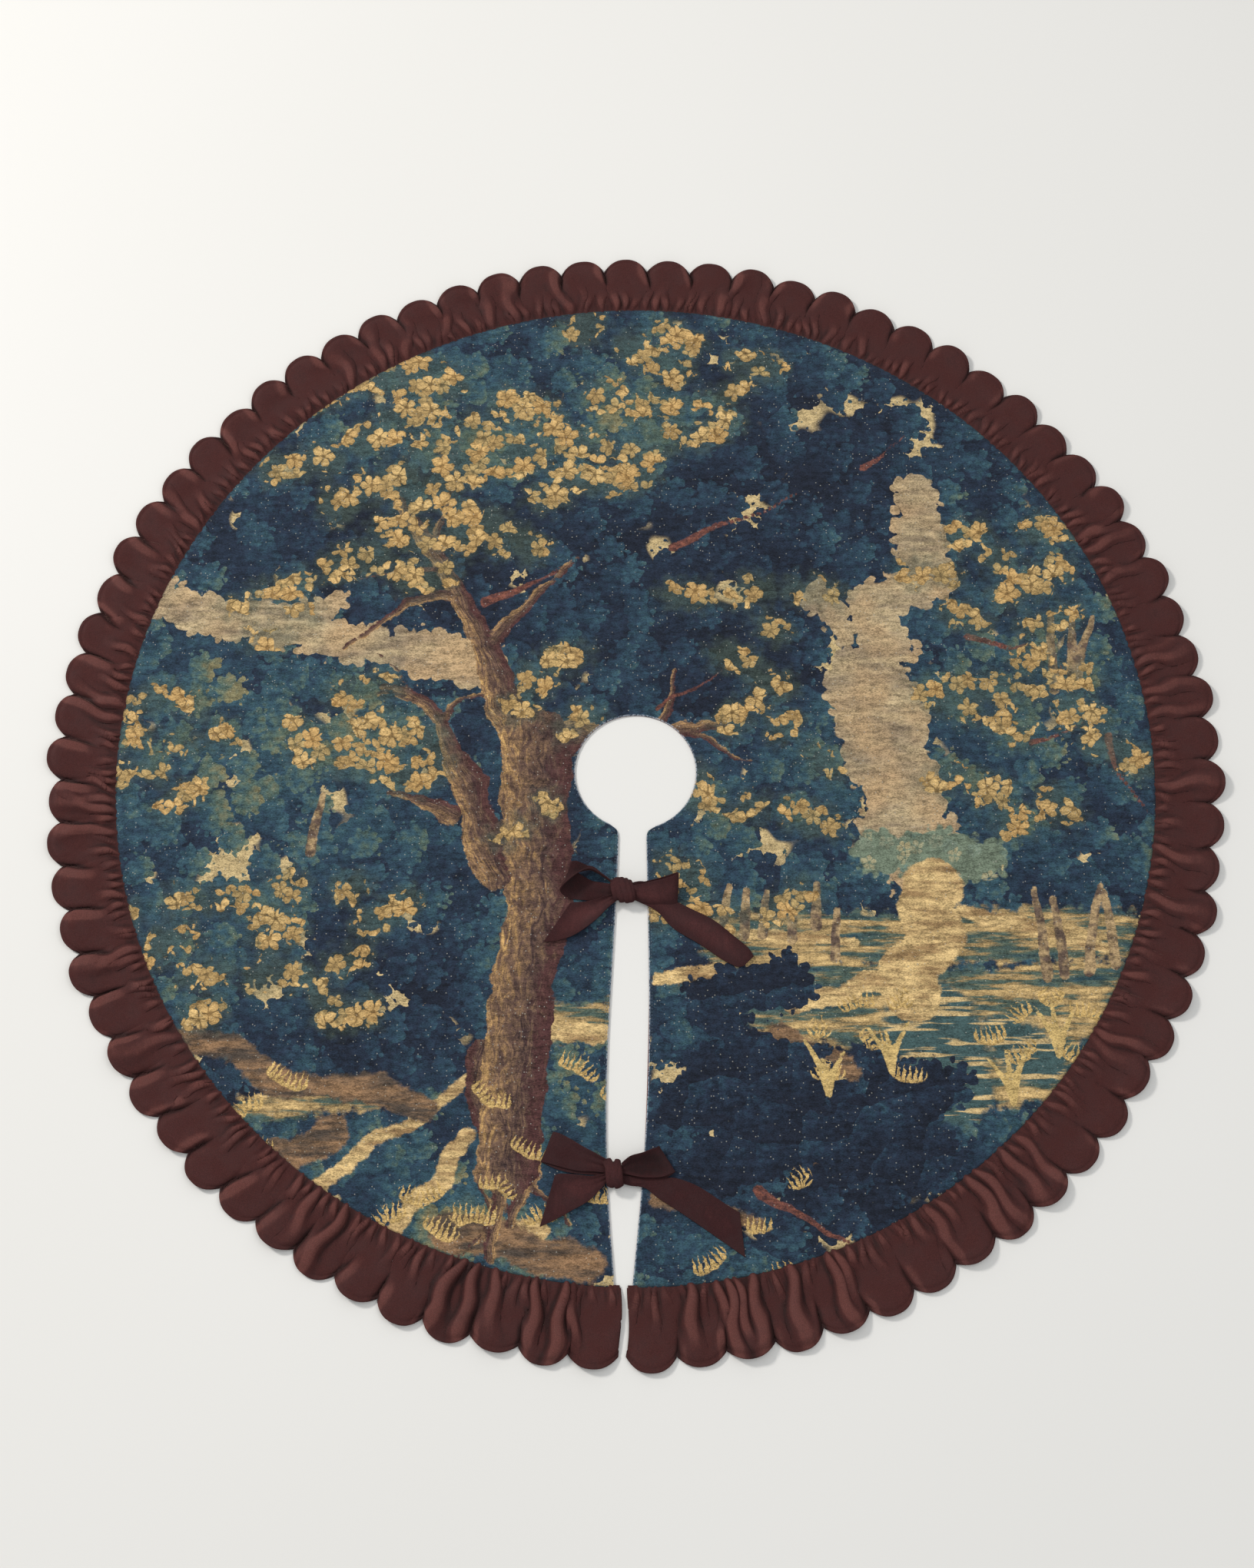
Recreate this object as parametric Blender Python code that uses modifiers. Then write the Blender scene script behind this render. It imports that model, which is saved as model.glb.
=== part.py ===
"""Round tree skirt: a lined and padded panel with a neck hole and a front slit, a scalloped
double ruffle round its hem, and two pairs of ribbon ties tied in bows across the slit.

The origin is the centre of the neck hole, on the floor. +Z is up, and the slit runs
from the neck along -Y. All sizes are in metres."""

import math

import bmesh
import bpy
from mathutils import Matrix, Vector

# Panel and slit
NECK_RADIUS = 0.079
NECK_CORNER = 0.012  # how far the rounding reaches where the neck meets the slit
NECK_CORNER_SHARPNESS = 8  # how late the neck's circle turns towards the rounded corner
HEM_RADIUS = 0.677
HEM_CENTRE_Y = 0.009  # the hem's circle lies this far behind the neck hole
SLIT_NECK_WIDTH = 0.036
SLIT_HEM_WIDTH = 0.021
SLIT_BELLY = 0.012  # how far each edge bows out between the two ties
SLIT_BELLY_SKEW = 1.3  # over 1 moves the widest place towards the hem
SLIT_NECK_X = -0.004
SLIT_HEM_X = -0.015

# Layers, from the floor up
LINING_THICKNESS = 0.0008
WADDING_THICKNESS = 0.0020
FACE_THICKNESS = 0.0010
WADDING_INSET = 0.015  # from the slit and the neck, to leave room for the seams
CLEARANCE = 0.0003  # between touching pieces

# Ruffle
RUFFLE_WIDTH = 0.088
RUFFLE_GAP = 0.010  # between the ruffle's two ends, at the slit
RUFFLE_FRONT_THICKNESS = 0.0062
SCALLOPS_PER_STRIP = 13
STRIPS_PER_SIDE = 3
SCALLOP_DEPTH = 0.012
HEADING_WIDTH = 0.010  # gathered edge that is sewn in under the face
HEADING_THICKNESS = 0.0006
HEADING_OVERLAP = 0.002
HEM_CLEARANCE = 0.0006

# Sewing thread
THREAD_DIAMETER = 0.0005
HEM_THREAD_GAP = 0.0009  # to the face above it, and to the lining below it
TOPSTITCH_INSET = 0.0035

# Ribbon ties
RIBBON_WIDTH = 0.038
RIBBON_THICKNESS = 0.0012
RIBBON_PINCHED_WIDTH = 0.016  # where the knot squeezes it
STRAP_WIDTH = 0.020  # folded, where it is sewn into the slit's edge
STRAP_DEPTH = 0.011  # sewn in
KNOT_FROM_EDGE = 0.0085  # the knot sits over the slit's left edge
KNOT_HEIGHT = 0.016
KNOT_ROUNDING = 0.0025
SPREAD_LENGTH = 0.045  # where a ribbon reaches its full width
DROP_LENGTH = 0.034  # where a tail comes down to the face
LOOP_OPENING = 0.013
LOOP_END_RISE = 0.001  # a loop's far end lies this much higher than it has to
TAIL_ROOT_RISE = 0.0043  # a tail leaves its knot this far above the ribbon's lowest place
STRAP_STEEPNESS = 1.2  # over 1 brings the right strap up before it reaches the knot

UPPER_BOW = {
    "from_neck": 0.086,
    "knot_width": 0.030,
    "knot_length": 0.036,
    "loops": {"left": (165, 0.060), "right": (8, 0.054)},  # heading, length
    "tails": {"left": (-150, 0.088, 36), "right": (-36, 0.160, 0)},  # and end cut
}
LOWER_BOW = {
    "from_hem": 0.138,
    "knot_width": 0.025,
    "knot_length": 0.041,
    "loops": {"left": (158, 0.072), "right": (18, 0.058)},
    "tails": {"left": (-147, 0.084, 40), "right": (-31, 0.160, 36)},
}

NECK_STEPS = 32
SLIT_STEPS = 12
CORNER_STEPS = 4
SCALLOP_STEPS = 4
TAIL_STEPS = 12
LOOP_STEPS = 20
RIGHT_STRAP_STEPS = 10
LEFT_STRAP_STEPS = 8

# Heights that follow from the layers
WADDING_BOTTOM = LINING_THICKNESS + CLEARANCE
FACE_BOTTOM = WADDING_BOTTOM + WADDING_THICKNESS + CLEARANCE
FACE_TOP = FACE_BOTTOM + FACE_THICKNESS
SEAM_HEIGHT = (LINING_THICKNESS + FACE_BOTTOM) / 2
THREAD_HEIGHT = FACE_TOP + CLEARANCE + THREAD_DIAMETER / 2
RIBBON_FLOOR = FACE_TOP + 2 * CLEARANCE + THREAD_DIAMETER
TAIL_ROOT_HEIGHT = RIBBON_FLOOR + TAIL_ROOT_RISE
LOOP_ROOT_HEIGHT = TAIL_ROOT_HEIGHT + RIBBON_THICKNESS + CLEARANCE
HEADING_BOTTOM = SEAM_HEIGHT - HEADING_THICKNESS / 2
HEM_THREAD_DIAMETER = FACE_BOTTOM - LINING_THICKNESS - 2 * HEM_THREAD_GAP
RUFFLE_FACING_TOP = HEADING_BOTTOM - CLEARANCE
RUFFLE_FRONT_TOP = HEADING_BOTTOM + RUFFLE_FRONT_THICKNESS

OUTER_RADIUS = HEM_RADIUS + RUFFLE_WIDTH
SLIT_END = HEM_RADIUS - HEM_CENTRE_Y  # the hem's distance from the origin, at the slit
SCALLOPS = 2 * STRIPS_PER_SIDE * SCALLOPS_PER_STRIP

FACE_COLOUR = (0.035, 0.070, 0.105)
WADDING_COLOUR = (0.80, 0.78, 0.72)
LINING_COLOUR = (0.19, 0.055, 0.040)
RUFFLE_COLOUR = (0.080, 0.022, 0.020)
RIBBON_COLOUR = (0.055, 0.014, 0.014)
THREAD_COLOUR = (0.42, 0.45, 0.50)


def clear_scene():
    for obj in list(bpy.data.objects):
        bpy.data.objects.remove(obj, do_unlink=True)


def new_collection(name, hidden=False):
    collection = bpy.data.collections.new(name)
    collection.hide_render = hidden
    bpy.context.scene.collection.children.link(collection)
    return collection


def cloth_material(name, colour, roughness):
    material = bpy.data.materials.new(name)
    material.use_nodes = True
    shader = material.node_tree.nodes["Principled BSDF"]
    shader.inputs["Base Color"].default_value = (*colour, 1)
    shader.inputs["Roughness"].default_value = roughness
    shader.inputs["Metallic"].default_value = 0
    material.diffuse_color = (*colour, 1)
    return material


def smoothstep(t):
    t = min(max(t, 0), 1)
    return t * t * (3 - 2 * t)


def mix(a, b, t):
    return a + (b - a) * t


# The slit


def slit_share(distance):
    """How far along the slit a distance from the origin lies: 0 at the neck, 1 at the hem."""
    return min(max((distance - NECK_RADIUS) / (SLIT_END - NECK_RADIUS), 0), 1)


def slit_edge(side, distance, inset=0):
    """X of the slit's edge, on side -1 (left) or 1 (right), this far from the origin."""
    t = slit_share(distance)
    centre = mix(SLIT_NECK_X, SLIT_HEM_X, smoothstep(t))
    half = mix(SLIT_NECK_WIDTH, SLIT_HEM_WIDTH, t) / 2
    half += SLIT_BELLY * math.sin(math.pi * t**SLIT_BELLY_SKEW)
    return centre + side * (half + inset)


def neck_corner(side, inset):
    """Where the slit's edge meets the neck's circle, both moved into the cloth by inset."""
    radius = NECK_RADIUS + inset
    x = slit_edge(side, radius, inset)
    return Vector((x, -math.sqrt(radius**2 - x**2)))


def rounded_corner(side, inset):
    """Points that round the corner, from the neck's circle to the slit's edge."""
    corner = neck_corner(side, inset)
    along_neck = Vector((side * -corner.y, side * corner.x)).normalized()
    start = corner + along_neck * NECK_CORNER
    end = Vector((slit_edge(side, -corner.y + NECK_CORNER, inset), corner.y - NECK_CORNER))
    points = []
    for step in range(CORNER_STEPS + 1):
        t = step / CORNER_STEPS
        points.append(start.lerp(corner, t).lerp(corner.lerp(end, t), t))
    return points


def slit_and_neck(inset, last_distance):
    """The inner edge of the panel: up the slit's left edge, round the neck, and down again."""
    sides = {}
    for side in (-1, 1):
        points = rounded_corner(side, inset)
        first = -points[-1].y
        for step in range(1, SLIT_STEPS + 1):
            distance = mix(first, last_distance, step / SLIT_STEPS)
            points.append(Vector((slit_edge(side, distance, inset), -distance)))
        sides[side] = points
    start = math.atan2(sides[-1][0].x, -sides[-1][0].y)
    end = math.atan2(sides[1][0].x, -sides[1][0].y)
    start_radius = sides[-1][0].length
    neck = []
    for step in range(1, NECK_STEPS):
        angle = mix(start, end - 2 * math.pi, step / NECK_STEPS)
        near_corner = abs(2 * step / NECK_STEPS - 1) ** NECK_CORNER_SHARPNESS
        radius = mix(NECK_RADIUS + inset, start_radius, near_corner)
        neck.append(radius * Vector((math.sin(angle), -math.cos(angle))))
    return sides[-1][::-1] + neck + sides[1]


# The hem and its scallops, at angles from the -Y axis towards +X


def hem_point(angle, outset=0):
    """A point of the hem's circle, moved out from the panel by outset."""
    towards = Vector((math.sin(angle), -math.cos(angle)))
    along = towards.y * HEM_CENTRE_Y
    distance = along + math.sqrt(along**2 - HEM_CENTRE_Y**2 + (HEM_RADIUS + outset) ** 2)
    return distance * towards


def ruffle_angle(scallop):
    """The angle at which a scallop starts, counted from the slit round the right side."""
    middle = math.atan2(SLIT_HEM_X, SLIT_END)
    half_gap = RUFFLE_GAP / 2 / SLIT_END
    return mix(middle + half_gap, middle + 2 * math.pi - half_gap, scallop / SCALLOPS)


def hem_line(first, last, outset):
    return [hem_point(ruffle_angle(count), outset) for count in range(first, last + 1)]


def panel_outline(edge_inset, hem_inset):
    """The outline of one layer of the panel, moved in from the slit, the neck and the hem."""
    inner = slit_and_neck(edge_inset, SLIT_END - hem_inset)
    inner[0] = slit_corner(-1, edge_inset, hem_inset)
    inner[-1] = slit_corner(1, edge_inset, hem_inset)
    outer = hem_line(1, SCALLOPS - 1, -hem_inset)
    return inner + outer


def slit_corner(side, edge_inset, hem_inset):
    x = slit_edge(side, SLIT_END, edge_inset)
    return Vector((x, HEM_CENTRE_Y - math.sqrt((HEM_RADIUS - hem_inset) ** 2 - x**2)))


def scalloped_edge(first, last):
    """The outer edge of the scallops from first to last: each is a low arc between two nicks."""
    points = []
    for scallop in range(first, last):
        for step in range(SCALLOP_STEPS):
            t = step / SCALLOP_STEPS
            angle = mix(ruffle_angle(scallop), ruffle_angle(scallop + 1), t)
            radius = OUTER_RADIUS - SCALLOP_DEPTH * (2 * t - 1) ** 2
            points.append(radius * Vector((math.sin(angle), -math.cos(angle))))
    angle = ruffle_angle(last)
    nick = OUTER_RADIUS - SCALLOP_DEPTH
    points.append(nick * Vector((math.sin(angle), -math.cos(angle))))
    return points


def strip_between(outer, inner):
    """One outline from two edges that run the same way, its ends moved in by half a clearance."""
    points = []
    for edge in (outer, inner[::-1]):
        first = (edge[1] - edge[0]).normalized() * CLEARANCE / 2
        last = (edge[-2] - edge[-1]).normalized() * CLEARANCE / 2
        points += [edge[0] + first, *edge[1:-1], edge[-1] + last]
    return points


def strip_outline(strip):
    """The outline of one ruffle strip, counted from the slit round the right side."""
    first = strip * SCALLOPS_PER_STRIP
    last = first + SCALLOPS_PER_STRIP
    return strip_between(scalloped_edge(first, last), hem_line(first, last, HEM_CLEARANCE))


def heading_outline(strip):
    """The outline of a strip's gathered heading, which runs under the face's edge."""
    first = strip * SCALLOPS_PER_STRIP
    last = first + SCALLOPS_PER_STRIP
    outer = hem_line(first, last, HEM_CLEARANCE + HEADING_OVERLAP)
    inner = hem_line(first, last, -HEADING_WIDTH)
    if strip == 0:  # the first end stays inside the panel, clear of the slit's edge
        outer[0].x = inner[0].x = slit_edge(1, SLIT_END, TOPSTITCH_INSET)
    if strip == 2 * STRIPS_PER_SIDE - 1:
        outer[-1].x = inner[-1].x = slit_edge(-1, SLIT_END, TOPSTITCH_INSET)
    return strip_between(outer, inner)


# Makers of objects


def flat_curve(name, outline, bottom, top, collection):
    """A flat outline raised from bottom to top, as a filled 2D curve."""
    data = bpy.data.curves.new(name, "CURVE")
    data.dimensions = "2D"
    data.fill_mode = "BOTH"
    data.extrude = (top - bottom) / 2
    spline = data.splines.new("POLY")
    spline.points.add(len(outline) - 1)
    for point, corner in zip(spline.points, outline):
        point.co = (corner.x, corner.y, 0, 1)
    spline.use_cyclic_u = True
    obj = bpy.data.objects.new(name, data)
    obj.location.z = (bottom + top) / 2
    collection.objects.link(obj)
    return obj


def as_mesh(obj, collection):
    """The same shape as a mesh with welded caps, in place of the curve."""
    bpy.context.view_layer.update()
    graph = bpy.context.evaluated_depsgraph_get()
    mesh = bpy.data.meshes.new_from_object(obj.evaluated_get(graph))
    work = bmesh.new()
    work.from_mesh(mesh)
    bmesh.ops.remove_doubles(work, verts=work.verts, dist=0.00001)
    bmesh.ops.recalc_face_normals(work, faces=work.faces)
    work.to_mesh(mesh)
    work.free()
    name = obj.name
    matrix = obj.matrix_world.copy()
    bpy.data.objects.remove(obj, do_unlink=True)
    solid = bpy.data.objects.new(name, mesh)
    solid.matrix_world = matrix
    collection.objects.link(solid)
    return solid


def thread(name, points, height, diameter, closed, collection, material):
    """A round thread along the points, at one height."""
    data = bpy.data.curves.new(name, "CURVE")
    data.dimensions = "3D"
    data.bevel_depth = diameter / 2
    data.bevel_resolution = 0
    data.use_fill_caps = not closed
    spline = data.splines.new("POLY")
    spline.points.add(len(points) - 1)
    for point, place in zip(spline.points, points):
        point.co = (place.x, place.y, height, 1)
    spline.use_cyclic_u = closed
    obj = bpy.data.objects.new(name, data)
    collection.objects.link(obj)
    obj.data.materials.append(material)
    return obj


def ribbon(name, steps, place, collection, material):
    """A ribbon as a grid put in place by place(along, across), given its thickness by Solidify."""
    mesh = bpy.data.meshes.new(name)
    work = bmesh.new()
    bmesh.ops.create_grid(work, x_segments=steps, y_segments=1, size=1)
    for vert in work.verts:
        vert.co = place((vert.co.x + 1) / 2, vert.co.y)
    work.to_mesh(mesh)
    work.free()
    mesh.shade_smooth()
    obj = bpy.data.objects.new(name, mesh)
    collection.objects.link(obj)
    mesh.materials.append(material)
    solidify = obj.modifiers.new("ribbon thickness", "SOLIDIFY")
    solidify.thickness = RIBBON_THICKNESS
    solidify.offset = 0
    solidify.use_even_offset = True
    return obj


# The skirt's pieces


def make_panel(collection):
    layers = (
        ("lining", 0, 0, 0, LINING_THICKNESS, LINING_COLOUR),
        (
            "wadding",
            WADDING_INSET,
            WADDING_INSET,
            WADDING_BOTTOM,
            WADDING_BOTTOM + WADDING_THICKNESS,
            WADDING_COLOUR,
        ),
        ("face_panel", 0, 0, FACE_BOTTOM, FACE_TOP, FACE_COLOUR),
    )
    for name, edge_inset, hem_inset, bottom, top, colour in layers:
        outline = panel_outline(edge_inset, hem_inset)
        obj = flat_curve(name, outline, bottom, top, collection)
        obj.data.materials.append(cloth_material(name, colour, 0.9))


def strip_name(kind, strip):
    """Strips are numbered from the slit backwards, on each side."""
    if strip < STRIPS_PER_SIDE:
        return f"{kind}_right_{strip + 1}"
    return f"{kind}_left_{2 * STRIPS_PER_SIDE - strip}"


def make_ruffle(collection, cutters):
    facing_material = cloth_material("ruffle_facing", RUFFLE_COLOUR, 0.85)
    front_material = cloth_material("ruffle_front", RUFFLE_COLOUR, 0.85)
    for strip in range(2 * STRIPS_PER_SIDE):
        outline = strip_outline(strip)
        name = strip_name("ruffle_facing", strip)
        facing = flat_curve(name, outline, 0, RUFFLE_FACING_TOP, collection)
        facing.data.materials.append(facing_material)
        name = strip_name("ruffle_front", strip)
        front = flat_curve(name, outline, HEADING_BOTTOM, RUFFLE_FRONT_TOP, collection)
        front.data.materials.append(front_material)
        front = as_mesh(front, collection)
        heading_top = HEADING_BOTTOM + HEADING_THICKNESS
        heading_name = f"heading_of_{name}"
        heading = heading_outline(strip)
        heading = flat_curve(heading_name, heading, HEADING_BOTTOM, heading_top, cutters)
        heading = as_mesh(heading, cutters)
        heading.display_type = "WIRE"
        heading.hide_render = True
        join = front.modifiers.new("sewn-in heading", "BOOLEAN")
        join.operation = "UNION"
        join.object = heading


def make_threads(collection):
    material = cloth_material("thread", THREAD_COLOUR, 0.6)
    stitched = slit_and_neck(TOPSTITCH_INSET, SLIT_END - 2 * TOPSTITCH_INSET)
    thread(
        "topstitching", stitched, THREAD_HEIGHT, THREAD_DIAMETER, False, collection, material
    )
    inset = HEADING_WIDTH + CLEARANCE + HEM_THREAD_DIAMETER / 2
    hem = hem_line(1, SCALLOPS - 1, -inset)
    thread("hem_seam_thread", hem, SEAM_HEIGHT, HEM_THREAD_DIAMETER, False, collection, material)


# The bows


def ribbon_half_width(distance):
    share = smoothstep(distance / SPREAD_LENGTH)
    return mix(RIBBON_PINCHED_WIDTH, RIBBON_WIDTH, share) / 2


def place_at_knot(obj, bow, heading, height):
    """Puts the object's origin on the knot's side, turned so that its +X points away from it."""
    angle = math.radians(heading)
    towards = Vector((math.cos(angle), math.sin(angle), 0))
    half_x = bow["knot_width"] / 2
    half_y = bow["knot_length"] / 2
    reach = math.hypot(half_x * towards.x, half_y * towards.y)
    touch = Vector((half_x**2 * towards.x, half_y**2 * towards.y, 0)) / reach
    obj.location = bow["centre"] + touch + towards * CLEARANCE
    obj.location.z = height
    obj.rotation_euler.z = angle


def make_tail(name, bow, heading, length, end_cut, collection, material):
    """A tail that leaves the knot, comes down to the face and ends in a slanting cut."""
    slant = math.tan(math.radians(end_cut)) * (-1 if abs(heading) > 90 else 1)
    top = TAIL_ROOT_HEIGHT + RIBBON_THICKNESS / 2
    rest = RIBBON_FLOOR + RIBBON_THICKNESS / 2 - top

    def place(along, across):
        distance = length * along
        half = ribbon_half_width(distance)
        distance -= slant * across * half * smoothstep(2 * along - 1)
        drop = smoothstep(distance / DROP_LENGTH)
        height = mix(-RIBBON_THICKNESS / 2, rest, drop)
        return Vector((distance, across * half, height))

    obj = ribbon(name, TAIL_STEPS, place, collection, material)
    place_at_knot(obj, bow, heading, top)


def make_loop(name, bow, heading, length, collection, material):
    """A loop that leaves the knot low, turns round its far end and comes back above itself."""
    spacing = (RIBBON_THICKNESS + CLEARANCE) / 2
    top = LOOP_ROOT_HEIGHT + 2 * spacing + RIBBON_THICKNESS / 2
    root_middle = LOOP_ROOT_HEIGHT + spacing
    widest = 1.3  # the largest value of sin(turn) * (1 + cos(turn))
    end_middle = RIBBON_FLOOR + RIBBON_THICKNESS + CLEARANCE + LOOP_OPENING / 2 + LOOP_END_RISE

    def place(along, across):
        turn = math.pi * (2 * along - 1)
        share = (1 + math.cos(turn)) / 2
        distance = length * share
        middle = mix(root_middle, end_middle, smoothstep(share))
        swell = LOOP_OPENING / 2 * math.sin(turn) * 2 * share / widest
        height = middle + swell + spacing * (2 * along - 1) - top
        return Vector((distance, across * ribbon_half_width(distance), height))

    obj = ribbon(name, LOOP_STEPS, place, collection, material)
    place_at_knot(obj, bow, heading, top)


def make_right_strap(name, bow, collection, material):
    """From the seam in the slit's right edge, up and across the slit to the knot."""
    edge = slit_edge(1, bow["distance"])
    sewn_end = edge + STRAP_DEPTH
    knot_side = bow["centre"].x + bow["knot_width"] / 2 + CLEARANCE
    knot_height = RIBBON_FLOOR + RIBBON_THICKNESS + CLEARANCE

    def place(along, across):
        x = mix(sewn_end, knot_side, along)
        crossed = (edge - 2 * RIBBON_THICKNESS - x) / (edge - knot_side)
        rise = smoothstep(crossed * STRAP_STEEPNESS)
        half = mix(STRAP_WIDTH, RIBBON_PINCHED_WIDTH, along) / 2
        height = mix(SEAM_HEIGHT, knot_height, rise)
        return Vector((x, bow["centre"].y + across * half, height))

    ribbon(name, RIGHT_STRAP_STEPS, place, collection, material)


def make_left_strap(name, bow, collection, material):
    """From the seam in the slit's left edge, turning up into the underside of the knot."""
    edge = slit_edge(-1, bow["distance"])
    bend = RIBBON_FLOOR - 2 * CLEARANCE - SEAM_HEIGHT
    bend_start = edge + RIBBON_THICKNESS
    flat_length = STRAP_DEPTH + RIBBON_THICKNESS
    whole_length = flat_length + bend * math.pi / 2

    def place(along, across):
        distance = along * whole_length
        turn = max(distance - flat_length, 0) / bend
        x = bend_start - max(flat_length - distance, 0) + bend * math.sin(turn)
        height = SEAM_HEIGHT + bend * (1 - math.cos(turn))
        half = mix(STRAP_WIDTH, RIBBON_PINCHED_WIDTH, along) / 2
        return Vector((x, bow["centre"].y + across * half, height))

    ribbon(name, LEFT_STRAP_STEPS, place, collection, material)


def make_knot(name, bow, collection, material):
    """The knot, as an upright oval drum with rounded rims."""
    bpy.ops.mesh.primitive_cylinder_add(vertices=20, radius=1, depth=1)
    obj = bpy.context.object
    obj.name = name
    half_sizes = (bow["knot_width"] / 2, bow["knot_length"] / 2, KNOT_HEIGHT)
    obj.data.transform(Matrix.Diagonal((*half_sizes, 1)))
    obj.location = bow["centre"]
    obj.location.z = RIBBON_FLOOR + KNOT_HEIGHT / 2
    bevel = obj.modifiers.new("rounded rims", "BEVEL")
    bevel.width = KNOT_ROUNDING
    bevel.segments = 3
    bevel.limit_method = "ANGLE"
    bevel.angle_limit = math.radians(50)
    for holder in list(obj.users_collection):
        holder.objects.unlink(obj)
    collection.objects.link(obj)
    obj.data.shade_smooth()
    obj.data.materials.append(material)


def make_bow(prefix, bow, distance, collection):
    material = cloth_material(f"{prefix}_ribbon", RIBBON_COLOUR, 0.85)
    bow["distance"] = distance
    bow["centre"] = Vector((slit_edge(-1, distance) + KNOT_FROM_EDGE, -distance, 0))
    make_knot(f"{prefix}_knot", bow, collection, material)
    make_left_strap(f"{prefix}_strap_left", bow, collection, material)
    make_right_strap(f"{prefix}_strap_right", bow, collection, material)
    for side, (heading, length) in bow["loops"].items():
        make_loop(f"{prefix}_loop_{side}", bow, heading, length, collection, material)
    for side, (heading, length, end_cut) in bow["tails"].items():
        name = f"{prefix}_tail_{side}"
        make_tail(name, bow, heading, length, end_cut, collection, material)


def main():
    clear_scene()
    skirt = new_collection("tree_skirt")
    cutters = new_collection("cutters", hidden=True)
    make_panel(skirt)
    make_ruffle(skirt, cutters)
    make_threads(skirt)
    make_bow("upper", UPPER_BOW, NECK_RADIUS + UPPER_BOW["from_neck"], skirt)
    make_bow("lower", LOWER_BOW, SLIT_END - LOWER_BOW["from_hem"], skirt)


main()
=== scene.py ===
import math

import bmesh
import bpy
import numpy as np
from mathutils import Matrix, Vector, noise


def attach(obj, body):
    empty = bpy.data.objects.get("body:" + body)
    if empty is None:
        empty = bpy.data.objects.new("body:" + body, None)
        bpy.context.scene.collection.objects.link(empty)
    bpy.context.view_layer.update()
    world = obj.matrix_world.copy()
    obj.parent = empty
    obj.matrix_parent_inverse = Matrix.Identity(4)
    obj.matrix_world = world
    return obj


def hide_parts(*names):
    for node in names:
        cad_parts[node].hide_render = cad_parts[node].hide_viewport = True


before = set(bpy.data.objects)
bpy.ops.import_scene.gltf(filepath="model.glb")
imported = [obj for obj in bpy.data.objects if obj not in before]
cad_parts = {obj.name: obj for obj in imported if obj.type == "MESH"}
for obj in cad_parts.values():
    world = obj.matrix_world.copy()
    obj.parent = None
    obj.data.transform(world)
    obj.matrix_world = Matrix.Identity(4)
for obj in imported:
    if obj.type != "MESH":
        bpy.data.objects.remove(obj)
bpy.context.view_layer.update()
scene = bpy.context.scene
mm = 0.001

# The panel's outline, as in the part: metres from the centre of the neck hole, the slit along -Y
panel = {
    "neckRadius": 0.079,
    "neckCorner": 0.012,
    "hemRadius": 0.677,
    "hemCentreY": 0.009,
    "slitNeckWidth": 0.036,
    "slitHemWidth": 0.021,
    "slitBelly": 0.012,
    "slitBellySkew": 1.3,
    "slitNeckX": -0.004,
    "slitHemX": -0.015,
    "columns": 700,
    "rows": 126,
    "edgeRoll": 0.0013,
    "fullHeight": 0.0047,
    "edgeHeight": 0.0031,
    "stitchInset": 0.0035,
}
slitEnd = panel["hemRadius"] - panel["hemCentreY"]


def mix(a, b, t):
    return a + (b - a) * t


def smooth(t):
    t = np.clip(t, 0, 1)
    return t * t * (3 - 2 * t)


# 1 at 0, falling to 0 at 1 either side
def bump(t):
    return 1 - smooth(np.abs(t))


# Noise from about -1 to 1 at each place, with waves of this size
def softNoise(x, y, size, seed, detail=2):
    total = np.zeros(len(x))
    for octave in range(detail):
        scale = 2**octave / size
        place = zip(x * scale, y * scale)
        layer = [noise.noise((px, py, seed + 7.3 * octave)) for px, py in place]
        total += np.array(layer) / 2**octave
    return total


# The slit and the hem

def slitX(side, distance, inset):
    neck = panel["neckRadius"]
    t = np.clip((distance - neck) / (slitEnd - neck), 0, 1)
    centre = mix(panel["slitNeckX"], panel["slitHemX"], smooth(t))
    half = mix(panel["slitNeckWidth"], panel["slitHemWidth"], t) / 2
    half = half + panel["slitBelly"] * np.sin(math.pi * t ** panel["slitBellySkew"])
    return centre + side * (half + inset)


# From the origin to the hem's circle, at an angle from -Y towards +X
def hemDistance(angle, outset):
    along = -np.cos(angle) * panel["hemCentreY"]
    radius = panel["hemRadius"] + outset
    return along + np.sqrt(along**2 - panel["hemCentreY"] ** 2 + radius**2)


# Angle of the slit's edge at a radius, with the corner at the neck rounded
def slitAngle(side, radius, inset):
    x = slitX(side, radius, inset)
    x = slitX(side, np.sqrt(radius**2 - x**2), inset)
    into = np.clip((radius - panel["neckRadius"] - inset) / panel["neckCorner"], 0, 1)
    corner = panel["neckCorner"] * (1 - np.sqrt(into)) ** 2
    angle = np.arcsin(x / radius) + side * corner / radius
    return angle if side > 0 else angle + 2 * math.pi


# Plan place on the panel: u runs from the slit's right edge round to its left, v outwards
def panelPlace(u, v, inset):
    u = u - 0.15 * np.sin(2 * math.pi * u) / (2 * math.pi)
    v = v - 0.3 * np.sin(2 * math.pi * v) / (2 * math.pi)
    inner = panel["neckRadius"] + inset
    radius = mix(inner, panel["hemRadius"], v)
    for _ in range(2):
        angle = mix(slitAngle(1, radius, inset), slitAngle(-1, radius, inset), u)
        radius = mix(inner, hemDistance(angle, -inset), v)
    angle = mix(slitAngle(1, radius, inset), slitAngle(-1, radius, inset), u)
    return radius * np.sin(angle), -radius * np.cos(angle)


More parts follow.
